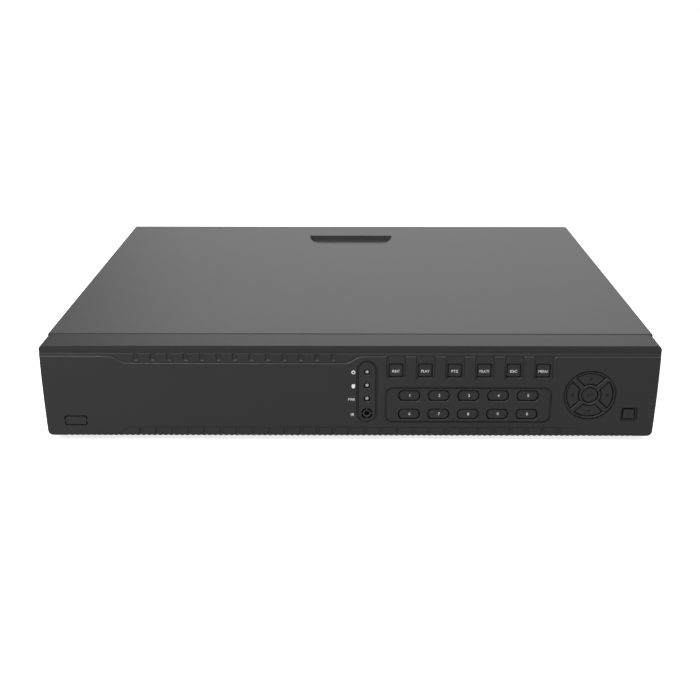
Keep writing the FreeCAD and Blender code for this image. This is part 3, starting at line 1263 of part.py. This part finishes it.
def build():
    """Every piece by its name."""
    keys = all_keys()
    pieces = {name: shape for name, (shape, _) in keys.items()}
    pieces["tact_switches"] = tact_switches([place for _, place in keys.values()])
    makers = (front_bezel, indicator_insert, status_lamps, infrared_receiver, key_board,
              bezel_screws, front_ribbon, base_pan, top_cover, rear_panel, case_screws,
              inner_screws, rubber_feet, foot_screws, jack_shells, coax_insulators, coax_contacts,
              jack_housings, phono_inserts, port_shields, vga_insert, terminal_block,
              terminal_screws, mains_inlet, inlet_pins, rocker_frame, rocker, fan_frame, fan_rotor,
              fan_guard, fan_screws, main_board, heatsink, hard_drives, drive_bracket,
              supply_cage, supply_board)
    for maker in makers:
        pieces[maker.__name__] = maker()
    return pieces


def main():
    os.makedirs("parts", exist_ok=True)
    for name, shape in build().items():
        shape.exportStep(os.path.join("parts", name + ".step"))
        print(f"{name}: {len(shape.Solids)} solids, valid {shape.isValid()}, "
              f"{shape.Volume / 1000:.2f} cm3")


main()
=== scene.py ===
import math

import bmesh
import bpy
from mathutils import Matrix, Vector


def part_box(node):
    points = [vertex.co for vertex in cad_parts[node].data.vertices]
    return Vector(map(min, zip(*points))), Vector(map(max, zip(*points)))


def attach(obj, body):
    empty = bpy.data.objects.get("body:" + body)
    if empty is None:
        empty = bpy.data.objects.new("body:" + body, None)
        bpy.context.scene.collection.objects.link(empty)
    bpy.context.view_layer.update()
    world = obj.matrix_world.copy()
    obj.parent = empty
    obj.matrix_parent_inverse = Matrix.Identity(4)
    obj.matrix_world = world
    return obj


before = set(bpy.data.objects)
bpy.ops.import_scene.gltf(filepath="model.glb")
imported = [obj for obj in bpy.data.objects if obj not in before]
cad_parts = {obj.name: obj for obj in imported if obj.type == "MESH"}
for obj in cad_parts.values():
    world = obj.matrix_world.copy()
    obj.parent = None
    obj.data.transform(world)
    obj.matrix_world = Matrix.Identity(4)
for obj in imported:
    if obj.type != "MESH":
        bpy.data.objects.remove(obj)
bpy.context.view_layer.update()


# ---- Base pan, drive bracket and supply cage ----
# Folded from hot-dip galvanised steel sheet. The zinc freezes in leaf-shaped spangles that
# differ in brightness and gloss, under a fine rolled grain. Tabs and self-tapping screws join them.
class Wire:
    """One socket of a finish; sums and products on it add Math nodes."""

    def __init__(self, finish, socket):
        self.finish = finish
        self.socket = socket

    def sum(self, operation, *values):
        return self.finish.node("ShaderNodeMath", {"operation": operation}, dict(enumerate(values)))

    def __add__(self, other):
        return self.sum("ADD", self, other)

    def __sub__(self, other):
        return self.sum("SUBTRACT", self, other)

    def __rsub__(self, other):
        return self.sum("SUBTRACT", other, self)

    def __mul__(self, other):
        return self.sum("MULTIPLY", self, other)

    def __gt__(self, other):
        return self.sum("GREATER_THAN", self, other)

    __radd__ = __add__
    __rmul__ = __mul__


class Finish:
    """A surface finish: one Principled shader and the nodes that vary it."""

    def __init__(self, name, settings):
        self.material = bpy.data.materials.new(name)
        self.material.use_nodes = True
        self.tree = self.material.node_tree
        self.shader = self.tree.nodes["Principled BSDF"]
        for socket, value in settings.items():
            self.put(self.shader, socket, value)

    def put(self, owner, socket, value):
        """Links a wire to a socket, or sets a number or a colour on it."""
        target = owner.inputs[socket]
        if isinstance(value, Wire):
            self.tree.links.new(value.socket, target)
        else:
            target.default_value = value

    def node(self, kind, settings, values, output=0):
        made = self.tree.nodes.new(kind)
        for name, value in settings.items():
            setattr(made, name, value)
        for socket, value in values.items():
            self.put(made, socket, value)
        return Wire(self, made.outputs[output])

    def place(self):
        return self.node("ShaderNodeTexCoord", {}, {}, "Object")

    def axes(self):
        place = self.place()
        return [self.node("ShaderNodeSeparateXYZ", {}, {0: place}, axis) for axis in "XYZ"]

    def noise(self, scale, detail=2.0, roughness=0.5):
        values = {"Vector": self.place(), "Scale": scale, "Detail": detail, "Roughness": roughness}
        return self.node("ShaderNodeTexNoise", {}, values)

    def cells(self, scale, output="Distance"):
        values = {"Vector": self.place(), "Scale": scale}
        return self.node("ShaderNodeTexVoronoi", {}, values, output)

    def colours(self, mask, first, second):
        """The first colour where the mask is 0 and the second where it is 1."""
        values = {0: mask, 6: first, 7: second}
        return self.node("ShaderNodeMix", {"data_type": "RGBA"}, values, 2)

    def colour(self, value):
        self.put(self.shader, "Base Color", value)

    def gloss(self, value):
        self.put(self.shader, "Roughness", value)

    def relief(self, height, deep, under=None):
        """Bumps the surface by a height of 0 to 1 times a depth in metres."""
        values = {"Strength": 1.0, "Distance": deep, "Height": height}
        if under:
            values["Normal"] = under
        self.put(self.shader, "Normal", self.node("ShaderNodeBump", {}, values))

    def soft_edges(self, radius):
        """Normals that turn round each corner as if it were worn to a radius."""
        return self.node("ShaderNodeBevel", {"samples": 4}, {"Radius": radius})


def grey(value, warm=1.0, cool=1.0):
    return (value * warm, value, value * cool, 1.0)


def dress(finish, *nodes):
    """Gives CAD nodes their finish."""
    for name in nodes:
        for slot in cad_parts[name].material_slots:
            slot.material = finish.material


zinc = Finish("galvanised_sheet", {"Metallic": 1.0, "Specular IOR Level": 0.5})
spangle = zinc.node("ShaderNodeSeparateColor", {}, {0: zinc.cells(scale=150.0, output="Color")})
rolled = zinc.noise(scale=2600.0)
zinc.colour(zinc.colours(spangle, grey(0.36, 0.98, 1.03), grey(0.60, 0.98, 1.02)))
zinc.gloss(0.30 + 0.16 * spangle + 0.10 * rolled)
zinc.relief(rolled + 0.6 * spangle, deep=0.00003)
dress(zinc, "base_pan", "drive_bracket", "supply_cage")


# ---- Rubber feet ----
# Four soft black rubber discs, each moulded with a hollow for the screw that holds it
# under the pan. The rubber is dull and a little dusty.
rubber = Finish("foot_rubber", {"Specular IOR Level": 0.3})
bloom = rubber.noise(scale=300.0, detail=4.0)
rubber.colour(rubber.colours(bloom, grey(0.012), grey(0.035)))
rubber.gloss(0.70 + 0.2 * bloom)
rubber.relief(rubber.noise(scale=2200.0), deep=0.00004)
dress(rubber, "rubber_feet")


# ---- Bright screws ----
# Zinc-plated steel screws: machine screws inside the case and in the feet, and the
# self-tapping ones behind the bezel. The plating is bright with a faint blue cast.
bright = Finish("zinc_plated_screw", {"Metallic": 1.0})
tarnish = bright.noise(scale=900.0, detail=3.0)
bright.colour(bright.colours(tarnish, (0.50, 0.53, 0.58, 1.0), (0.70, 0.71, 0.72, 1.0)))
bright.gloss(0.22 + 0.2 * tarnish)
bright.relief(tarnish, deep=0.00002)
dress(bright, "inner_screws", "foot_screws", "bezel_screws")


# ---- Circuit boards ----
# Glass-fibre boards under green solder mask, with tin-plated pads and darker tracks; the
# parts standing on them are black epoxy packages. Screwed to pillars in the pan.
MASK_GREEN = (0.006, 0.060, 0.022, 1.0)
TRACK_GREEN = (0.012, 0.105, 0.040, 1.0)
TIN = grey(0.55)
EPOXY = grey(0.018)
BOARD_SKIN = 0.0018          # whatever is higher over a board's underside stands on the board
KEY_BOARD_BACK = -0.12       # the upright key board is in front of this and has no packages

board = Finish("solder_mask", {"Coat Roughness": 0.15, "Specular IOR Level": 0.5})
_, back, up = board.axes()
lanes = board.node("ShaderNodeTexBrick", {"offset": 0.37}, {
    "Vector": board.place(), "Scale": 120.0, "Mortar Size": 0.035, "Mortar Smooth": 0.1,
    "Brick Width": 1.9, "Row Height": 0.22}, "Fac")
pads = board.cells(scale=420.0) > 0.62
tinned = board.colours(0.35 * pads, board.colours(lanes, MASK_GREEN, TRACK_GREEN), TIN)
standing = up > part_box("main_board")[0].z + BOARD_SKIN
package = standing * (back > KEY_BOARD_BACK)
board.colour(board.colours(package, tinned, EPOXY))
board.gloss(0.28 + 0.3 * package)
board.relief(lanes, deep=0.00003)
dress(board, "key_board", "main_board", "supply_board")


# ---- Heat sink and disk drives ----
# Sand-textured aluminium castings, the drives under a pressed lid. The drives hang in
# their bracket on screws; the heat sink is glued to the largest chip.
cast = Finish("cast_aluminium", {"Metallic": 1.0})
sand = cast.noise(scale=1500.0, detail=3.0, roughness=0.65)
cast.colour(cast.colours(cast.noise(scale=60.0), grey(0.42), grey(0.52)))
cast.gloss(0.36 + 0.2 * sand)
cast.relief(sand, deep=0.00006)
dress(cast, "heatsink", "hard_drives")


# ---- Ribbon lead ----
# A flat lead of grey PVC-covered wires side by side, with the first one marked red. It
# plugs into the key board and the main board.
WIRE_RADIUS = 0.000635
MARKED_WIDTH = 0.0013
FLUTE = 1500.0               # brings the height of a wire's crown to about 1

ribbon = Finish("ribbon_pvc", {"Specular IOR Level": 0.4, "Roughness": 0.45})
across = ribbon.axes()[0]
wires = ribbon.node("ShaderNodeMath", {"operation": "PINGPONG"}, {0: across, 1: WIRE_RADIUS})
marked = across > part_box("front_ribbon")[1].x - MARKED_WIDTH
ribbon.colour(ribbon.colours(marked, grey(0.42), (0.5, 0.02, 0.02, 1.0)))
ribbon.relief(wires * FLUTE, deep=0.0003)
dress(ribbon, "front_ribbon")


# ---- Black mouldings at the rear, the fan, the switch and the push switches ----
# Glass-filled nylon and polyester: connector bodies, the mains inlet, the fan's frame and
# blades, and the rocker with its frame. Smoother than the bezel, with faint flow marks.
nylon = Finish("black_nylon", {"Specular IOR Level": 0.5})
flow = nylon.noise(scale=90.0, detail=4.0)
nylon.colour(nylon.colours(flow, grey(0.009), grey(0.016)))
nylon.gloss(0.30 + 0.22 * flow)
nylon.relief(nylon.noise(scale=2400.0), deep=0.00002)
dress(nylon, "jack_housings", "mains_inlet", "rocker_frame", "rocker", "fan_frame", "fan_rotor",
      "tact_switches")


# ---- Plated shells, pins and guard ----
# Nickel-plated brass bayonet shells, tinned port shields, the inlet's flat pins, and the
# fan's guard of chromed wire. Bright, with soft handling marks.
nickel = Finish("nickel_plate", {"Metallic": 1.0})
handled = nickel.noise(scale=240.0, detail=4.0)
nickel.colour(nickel.colours(handled, (0.62, 0.60, 0.56, 1.0), (0.76, 0.74, 0.70, 1.0)))
nickel.gloss(0.16 + 0.18 * handled)
nickel.relief(nickel.noise(scale=1800.0), deep=0.00001)
dress(nickel, "jack_shells", "port_shields", "inlet_pins", "fan_guard")


# ---- Contacts, insulators and coloured connector bodies ----
# Gilt brass tubes in white fluoropolymer for video; red and white rings on the two sound
# sockets; a blue display connector; a green screw terminal strip with plated screws.
gilt = Finish("gilt_brass", {"Metallic": 1.0})
gilt.colour(gilt.colours(gilt.noise(scale=500.0), (0.78, 0.54, 0.20, 1.0), (0.90, 0.68, 0.30, 1.0)))
gilt.gloss(0.20 + 0.1 * gilt.noise(scale=700.0))
dress(gilt, "coax_contacts")

waxy = Finish("white_fluoropolymer", {"Roughness": 0.42, "Specular IOR Level": 0.4})
waxy.colour(waxy.colours(waxy.noise(scale=400.0), grey(0.66), grey(0.76)))
dress(waxy, "coax_insulators")

phono_low, phono_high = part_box("phono_inserts")
phono = Finish("sound_socket_rings", {"Specular IOR Level": 0.5})
upper_one = phono.axes()[2] > (phono_low.z + phono_high.z) / 2
cloudy = phono.noise(scale=300.0)
red = phono.colours(cloudy, (0.45, 0.010, 0.012, 1.0), (0.55, 0.016, 0.016, 1.0))
phono.colour(phono.colours(upper_one, red, grey(0.70)))
phono.gloss(0.28 + 0.1 * cloudy)
dress(phono, "phono_inserts")

blue = Finish("blue_thermoplastic", {"Specular IOR Level": 0.5})
mottle = blue.noise(scale=350.0)
blue.colour(blue.colours(mottle, (0.008, 0.030, 0.26, 1.0), (0.012, 0.045, 0.34, 1.0)))
blue.gloss(0.34 + 0.1 * blue.noise(scale=600.0))
dress(blue, "vga_insert")

green = Finish("green_polyamide", {"Specular IOR Level": 0.45})
mottle = green.noise(scale=350.0)
green.colour(green.colours(mottle, (0.008, 0.16, 0.045, 1.0), (0.012, 0.22, 0.06, 1.0)))
green.gloss(0.40 + 0.1 * green.noise(scale=600.0))
dress(green, "terminal_block")

slotted = Finish("terminal_screw_plate", {"Metallic": 1.0})
slotted.colour(slotted.colours(slotted.noise(scale=900.0), grey(0.50), grey(0.68)))
slotted.gloss(0.28 + 0.15 * slotted.noise(scale=900.0))
dress(slotted, "terminal_screws")


# ---- Bezel ----
# One injection moulding in charcoal ABS that wraps the front of the case. Its mould is
# spark-eroded, which leaves a fine matt grain; corners worn by the mould are softer.
charcoal = Finish("charcoal_abs", {"Specular IOR Level": 0.4})
eroded = charcoal.noise(scale=1900.0, detail=2.0, roughness=0.6)
cooled = charcoal.noise(scale=25.0, detail=3.0)
charcoal.colour(charcoal.colours(cooled, grey(0.0125), grey(0.0155)))
charcoal.gloss(0.44 + 0.10 * eroded)
charcoal.relief(eroded, deep=0.00002, under=charcoal.soft_edges(radius=0.00025))
dress(charcoal, "front_bezel")


# ---- Indicator plate, lamps and receiver ----
# A capsule-shaped plate of the same ABS pressed into the bezel, three diffused white
# light-emitting diodes behind it, and the dark infrared receiver in its window.
dress(charcoal, "indicator_insert")

LENS_RADIUS = 0.0014         # the milky part; outside it the lamp is painted near-black, as painted shade of the deep hole
lamp_low, lamp_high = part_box("status_lamps")
lamp_radius = (lamp_high.x - lamp_low.x) / 2
lamp_pitch = (lamp_high.z - lamp_low.z) / 2 - lamp_radius

diffuser = Finish("lamp_diffuser", {"Coat Weight": 0.3, "Roughness": 0.35})
lens = diffuser.colours(diffuser.noise(scale=800.0), grey(0.30), grey(0.38))
across, _, up = diffuser.axes()
aside = across - (lamp_low.x + lamp_radius)
rise = up - (lamp_low.z + lamp_radius)
off_lamp = diffuser.node("ShaderNodeMath", {"operation": "PINGPONG"}, {0: rise, 1: lamp_pitch / 2})
# Outside the lens the lamp is painted near-black: painted shade of the deep hole it sits in.
painted_hole_shade = aside * aside + off_lamp * off_lamp > LENS_RADIUS ** 2
diffuser.colour(diffuser.colours(painted_hole_shade, lens, grey(0.008)))
dress(diffuser, "status_lamps")

smoked = Finish("smoked_receiver", {"Coat Weight": 0.8, "Roughness": 0.18})
tint = smoked.noise(scale=500.0)
smoked.colour(smoked.colours(tint, (0.006, 0.004, 0.008, 1.0), (0.012, 0.007, 0.014, 1.0)))
dress(smoked, "infrared_receiver")


# ---- Keys ----
# Twenty-two ABS caps moulded a shade smoother than the bezel, each on a stem over its own
# push switch. White pad-printed legends; the arrow, enter and power marks are raised.
satin = Finish("key_abs", {"Specular IOR Level": 0.4})
touched = satin.noise(scale=60.0, detail=3.0)
eroded = satin.noise(scale=2300.0)
satin.colour(satin.colours(touched, grey(0.0125), grey(0.0155)))
satin.gloss(0.42 + 0.10 * touched)
satin.relief(eroded, deep=0.000015, under=satin.soft_edges(radius=0.0002))
keys = [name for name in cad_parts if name.startswith("key_") and name != "key_board"]
dress(satin, *keys)

ink = Finish("white_pad_print", {"Specular IOR Level": 0.4})
coverage = ink.noise(scale=1600.0, detail=3.0)
ink.colour(ink.colours(coverage, grey(0.62), grey(0.86)))
ink.gloss(0.45 + 0.2 * coverage)

PRINT = 0.00003              # how proud a printed mark stands
SUNK = 0.00002               # how far it reaches into the surface, so no gap shows
FORWARD = Vector((0, -1, 0))
BACKWARD = Vector((0, 1, 0))


def settle(piece, body, finish):
    """Gives a finished mark its material and its body, with its place in its mesh."""
    bpy.ops.object.transform_apply(location=True, rotation=True, scale=True)
    piece.data.materials.clear()
    piece.data.materials.append(finish.material)
    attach(piece, body)


def stand(piece, centre, facing):
    """Turns a flat piece to face outwards at its place on a surface."""
    place = Matrix.Translation(Vector(centre) - Vector(facing) * SUNK)
    piece.matrix_world = place @ facing.to_track_quat("Z", "Y").to_matrix().to_4x4()


def lettering(name, words, centre, height, body, width=None, facing=FORWARD):
    """Printed words, centred, with capitals of the given height."""
    bpy.ops.object.select_all(action="DESELECT")
    bpy.ops.object.text_add()
    piece = bpy.context.object
    piece.name = name
    piece.data.body = words
    piece.data.extrude = 0.05
    piece.data.resolution_u = 3
    bpy.ops.object.convert(target="MESH")
    piece = bpy.context.object
    piece.data.name = name
    size = piece.dimensions
    tall = height / size.y
    thick = PRINT + SUNK
    piece.scale = (width / size.x if width else tall, tall, thick / size.z)
    bpy.ops.object.transform_apply(location=False, rotation=False, scale=True)
    bpy.ops.object.origin_set(type="ORIGIN_GEOMETRY", center="BOUNDS")
    stand(piece, Vector(centre) + facing * thick / 2, facing)
    settle(piece, body, ink)


def face_centre(node):
    low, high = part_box(node)
    return Vector(((low.x + high.x) / 2, low.y, (low.z + high.z) / 2))


WORD_HEIGHT = 0.0019
WORD_SHIFT = Vector((0, 0, -0.0006))
DIGIT_HEIGHT = 0.0021
DIGIT_SHIFT = Vector((0.0004, 0, 0))
key_words = {"key_record": ("REC", 0.0051), "key_play": ("PLAY", 0.0058),
             "key_pan_tilt": ("PTZ", 0.0048), "key_multi": ("MULTI", 0.0066),
             "key_escape": ("ESC", 0.0050), "key_menu": ("MENU", 0.0066)}
for node, (word, width) in key_words.items():
    lettering(node + "_legend", word, face_centre(node) + WORD_SHIFT, WORD_HEIGHT, node, width)
for digit in "1234567890":
    node = "key_" + digit
    lettering(node + "_legend", digit, face_centre(node) + DIGIT_SHIFT, DIGIT_HEIGHT, node)

shade = Finish("raised_mark_abs", {"Specular IOR Level": 0.3, "Roughness": 0.6})
shade.colour(shade.colours(shade.noise(scale=700.0), grey(0.004), grey(0.007)))


def choose(kind, test):
    """Selects the edges or faces in edit mode whose middle passes the test, and nothing else."""
    bpy.ops.mesh.select_mode(type=kind)
    bpy.ops.mesh.select_all(action="DESELECT")
    mesh = bmesh.from_edit_mesh(bpy.context.object.data)
    for element in (mesh.edges if kind == "EDGE" else mesh.faces):
        corners = [vertex.co for vertex in element.verts]
        element.select_set(test(sum(corners, Vector()) / len(corners)))
    bmesh.update_edit_mesh(bpy.context.object.data)


def extend(x, y, z=0.0):
    """Extrudes what is selected."""
    bpy.ops.mesh.extrude_region_move(TRANSFORM_OT_translate={"value": (x, y, z)})


def stretch(x, y):
    """Scales what is selected about the middle of the shape."""
    bpy.ops.transform.resize(value=(x, y, 1), center_override=(0, 0, 0))


def mark(name, shape, centre, body, finish, turn=0.0, facing=FORWARD):
    """A flat shape drawn by its own function, thickened and stood on a surface."""
    bpy.ops.object.select_all(action="DESELECT")
    shape()
    piece = bpy.context.object
    piece.name = name
    piece.data.name = name
    bpy.ops.object.mode_set(mode="EDIT")
    bpy.ops.mesh.select_all(action="SELECT")
    bpy.ops.mesh.remove_doubles(threshold=0.000001)
    extend(0, 0, PRINT + SUNK)
    bpy.ops.mesh.select_all(action="SELECT")
    bpy.ops.mesh.normals_make_consistent(inside=False)
    bpy.ops.object.mode_set(mode="OBJECT")
    stand(piece, centre, facing)
    piece.matrix_world = piece.matrix_world @ Matrix.Rotation(math.radians(-turn), 4, "Z")
    settle(piece, body, finish)


def triangle():
    """An arrow head with rounded corners."""
    reach, rounding = 0.0017, 0.0003
    bpy.ops.mesh.primitive_circle_add(vertices=3, radius=reach, fill_type="NGON")
    bpy.ops.object.mode_set(mode="EDIT")
    bpy.ops.mesh.bevel(offset=rounding, segments=3, affect="VERTICES")
    bpy.ops.object.mode_set(mode="OBJECT")


def return_arrow():
    """A shaft with a rise at its right end and a head at its left."""
    stroke, shaft, tall, neck, head = 0.0006, 0.0012, 0.0013, 0.0004, 0.0013
    near = stroke / 3
    bpy.ops.mesh.primitive_plane_add(size=stroke)
    bpy.ops.object.mode_set(mode="EDIT")
    choose("EDGE", lambda at: at.x > near)
    extend(shaft, 0)
    extend(stroke, 0)
    choose("EDGE", lambda at: abs(at.x - shaft - stroke) < near and at.y > near)
    extend(0, tall)
    choose("EDGE", lambda at: at.x < -near)
    extend(-neck, 0)
    stretch(1, 3.4)
    extend(-head, 0)
    stretch(1, 0.15)
    bpy.ops.object.mode_set(mode="OBJECT")


def standby():
    """An open ring with a bar through its gap."""
    ring, line, gap = 0.0016, 0.00042, 0.0006
    stroke, foot, tall = 0.0004, 0.0003, 0.0013
    near = stroke / 4
    bpy.ops.mesh.primitive_circle_add(vertices=32, radius=ring, fill_type="NGON")
    bpy.ops.object.mode_set(mode="EDIT")
    bpy.ops.mesh.inset(thickness=line)
    bpy.ops.mesh.delete(type="FACE")
    choose("FACE", lambda at: at.y > 0 and abs(at.x) < gap)
    bpy.ops.mesh.delete(type="FACE")
    bpy.ops.mesh.primitive_plane_add(size=stroke, location=(0, foot, 0))
    choose("EDGE", lambda at: abs(at.x) < near and abs(at.y - foot - stroke / 2) < near)
    extend(0, tall)
    bpy.ops.object.mode_set(mode="OBJECT")


ARROW_REACH = 0.0124         # from the middle of the pad to the middle of an arrow
pad_low, pad_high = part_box("key_left")[0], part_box("key_right")[1]
pad = Vector(((pad_low.x + pad_high.x) / 2, pad_low.y, (pad_low.z + pad_high.z) / 2))
for node, turn in (("key_up", 0), ("key_right", 90), ("key_down", 180), ("key_left", 270)):
    outwards = Vector((math.sin(math.radians(turn)), 0, math.cos(math.radians(turn))))
    mark(node + "_mark", triangle, pad + outwards * ARROW_REACH, node, shade, turn)
mark("key_enter_mark", return_arrow, face_centre("key_enter"), "key_enter", shade)
mark("key_power_mark", standby, face_centre("key_power"), "key_power", shade)


# ---- Printed legends beside the indicators ----
# The same white print on the bezel's plate, left of the lamps and the receiver: a disk, a
# network socket, and short words for the power lamp and the receiver.
def disk():
    """A ring."""
    radius, line = 0.0014, 0.0007
    bpy.ops.mesh.primitive_circle_add(vertices=32, radius=radius, fill_type="NGON")
    bpy.ops.object.mode_set(mode="EDIT")
    bpy.ops.mesh.inset(thickness=line)
    bpy.ops.mesh.delete(type="FACE")
    bpy.ops.object.mode_set(mode="OBJECT")


def socket():
    """A square with a stepped tab at its foot."""
    side, step, tab = 0.0024, 0.0001, 0.0005
    bpy.ops.mesh.primitive_plane_add(size=side)
    bpy.ops.object.mode_set(mode="EDIT")
    choose("EDGE", lambda at: at.y < -side / 3)
    extend(0, -step)
    stretch(0.55, 1)
    extend(0, -tab)
    bpy.ops.object.mode_set(mode="OBJECT")


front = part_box("front_bezel")[0].y
mark("storage_legend", disk, (0.0024, front, 0.0547), "case", ink)
mark("network_legend", socket, (0.0024, front, 0.0442), "case", ink)
lettering("power_legend", "PWR", (0.0012, front, 0.0337), WORD_HEIGHT, "case", width=0.0050)
lettering("receiver_legend", "IR", (0.0019, front, 0.0219), DIGIT_HEIGHT, "case")


# ---- Cover and rear panel ----
# Folded 1 mm steel with baked charcoal powder paint, which leaves a fine orange peel and
# a soft sheen. The cover hooks over the pan and is screwed at the sides and the rear.
powder = Finish("powder_paint", {"Specular IOR Level": 0.42})
peel = powder.noise(scale=1300.0, detail=2.0, roughness=0.55)
drift = powder.noise(scale=9.0, detail=2.0)
powder.colour(powder.colours(drift, grey(0.034), grey(0.040)))
powder.gloss(0.42 + 0.12 * peel)
powder.relief(peel, deep=0.00002, under=powder.soft_edges(radius=0.0003))
dress(powder, "top_cover", "rear_panel")


# ---- Printed legends at the rear and on the switch ----
# White print on the rear panel: the number of each video input over its socket, and plain
# words for the other sockets. The rocker carries the usual bar and ring.
REAR_HEIGHT = 0.0024
FIRST_JACK = -0.012
JACK_PITCH = 0.0155
ROW_LEVELS = (0.0555, 0.0335)
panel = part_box("rear_panel")[1].y


def rear_lettering(name, words, x, z):
    lettering(name, words, (x, panel, z), REAR_HEIGHT, "case", facing=BACKWARD)


for number in range(16):
    column, row = divmod(number, 2)
    rear_lettering(f"input_{number + 1}_legend", str(number + 1),
                   FIRST_JACK - JACK_PITCH * column, ROW_LEVELS[row])
for name, word, node, lift in (("sound_in_legend", "IN", "phono_inserts", 0.0036),
                               ("screen_legend", "VGA", "vga_insert", 0.0044),
                               ("terminal_legend", "ALARM", "terminal_block", 0.0044)):
    low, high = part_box(node)
    rear_lettering(name, word, (low.x + high.x) / 2, high.z + lift)
rear_lettering("network_port_legend", "LAN", 0.024, 0.0305)
rear_lettering("serial_port_legend", "USB", 0.044, 0.0325)


def bar():
    """An upright bar."""
    stroke, reach = 0.0006, 0.0012
    bpy.ops.mesh.primitive_plane_add(size=stroke)
    bpy.ops.object.mode_set(mode="EDIT")
    choose("EDGE", lambda at: at.y > stroke / 3)
    extend(0, reach)
    choose("EDGE", lambda at: at.y < -stroke / 3)
    extend(0, -reach)
    bpy.ops.object.mode_set(mode="OBJECT")


MARK_ASIDE = 0.0042          # from the middle of the rocker to each of its marks
low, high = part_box("rocker")
middle = (low + high) / 2
for name, shape, side in (("rocker_on_mark", bar, MARK_ASIDE),
                          ("rocker_off_mark", disk, -MARK_ASIDE)):
    start = Vector((middle.x + side, high.y + 0.01, middle.z))
    _, place, normal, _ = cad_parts["rocker"].ray_cast(start, FORWARD)
    mark(name, shape, place, "rocker", ink, facing=normal)


# ---- Black screws ----
# Countersunk and pan-head screws with black oxide, slightly oily, in the cover, the rear
# panel and the fan.
black_screw = Finish("black_oxide_screw", {"Metallic": 0.6})
oxide = black_screw.noise(scale=1200.0)
black_screw.colour(black_screw.colours(oxide, grey(0.02), grey(0.05)))
black_screw.gloss(0.32 + 0.2 * oxide)
dress(black_screw, "case_screws", "fan_screws")


# ---- Floor, light and camera ----
# A pale sweep of paper in a pale room. The soft light comes from overhead, from a large
# screen behind and from a lamp at the front left; the camera stands in front and above.
FLOOR_SIZE = 12.0
FLOOR_GLOW = 0.8             # keeps the paper pale under the camera
FLOOR_BOUNCE = grey(0.62)    # what the paper sends back up at the object
ROOM_WHITE = (1.0, 1.0, 1.0, 1.0)
ROOM_FILL = (0.36, 0.36, 0.36, 1.0)

bpy.ops.object.select_all(action="DESELECT")
bpy.ops.mesh.primitive_plane_add(size=FLOOR_SIZE)
floor = bpy.context.object
floor.name = "floor"
paper = Finish("white_paper", {"Roughness": 0.9, "Specular IOR Level": 0.1,
                               "Emission Color": grey(1.0), "Emission Strength": FLOOR_GLOW})
paper.colour(paper.colours(paper.noise(scale=3.0), grey(0.90), grey(0.91)))
bounce = paper.node("ShaderNodeBsdfDiffuse", {}, {"Color": FLOOR_BOUNCE})
direct = paper.node("ShaderNodeLightPath", {}, {}, "Is Camera Ray")
shown = Wire(paper, paper.shader.outputs[0])
sweep = paper.node("ShaderNodeMixShader", {}, {0: direct, 1: bounce, 2: shown})
paper.put(paper.tree.nodes["Material Output"], "Surface", sweep)
floor.data.materials.append(paper.material)

world = bpy.data.worlds.new("studio")
bpy.context.scene.world = world
world.use_nodes = True
tree = world.node_tree
tree.nodes.clear()
seen = tree.nodes.new("ShaderNodeBackground")
seen.inputs["Color"].default_value = ROOM_WHITE
room = tree.nodes.new("ShaderNodeBackground")
room.inputs["Color"].default_value = ROOM_FILL
path = tree.nodes.new("ShaderNodeLightPath")
either = tree.nodes.new("ShaderNodeMixShader")
out = tree.nodes.new("ShaderNodeOutputWorld")
tree.links.new(path.outputs["Is Camera Ray"], either.inputs[0])
tree.links.new(room.outputs[0], either.inputs[1])
tree.links.new(seen.outputs[0], either.inputs[2])
tree.links.new(either.outputs[0], out.inputs["Surface"])

bpy.ops.object.light_add(type="SUN")
overhead = bpy.context.object
overhead.name = "overhead"
overhead.data.energy = 1.0
overhead.data.angle = math.radians(22)
overhead.rotation_euler = (math.radians(24), math.radians(14), 0)


def softbox(name, place, aim, size, power):
    """A rectangular soft light that the camera does not see itself."""
    bpy.ops.object.light_add(type="AREA", location=place)
    light = bpy.context.object
    light.name = name
    light.data.shape = "RECTANGLE"
    light.data.size, light.data.size_y = size
    light.data.energy = power
    light.rotation_euler = (Vector(aim) - Vector(place)).to_track_quat("-Z", "Y").to_euler()
    light.visible_camera = False


softbox("behind", place=(0.3, 3.0, 1.5), aim=(0.3, 0.0, 1.5), size=(2.5, 2.0), power=23.0)
softbox("key_light", place=(-0.9, -1.1, 1.35), aim=(0.0, -0.1, 0.0), size=(0.6, 0.6), power=28.0)

bpy.ops.object.camera_add()
camera = bpy.context.object
camera.data.lens = 52.98
camera.data.sensor_width = 36.0
camera.matrix_world = (Matrix.Translation((0.0016, -0.8595, 0.3267))
                       @ Matrix.Rotation(math.radians(0.135), 4, "Z")
                       @ Matrix.Rotation(math.radians(90 - 20.59), 4, "X")
                       @ Matrix.Rotation(math.radians(0.044), 4, "Z"))
bpy.context.scene.camera = camera
bpy.context.scene.view_settings.view_transform = "Standard"
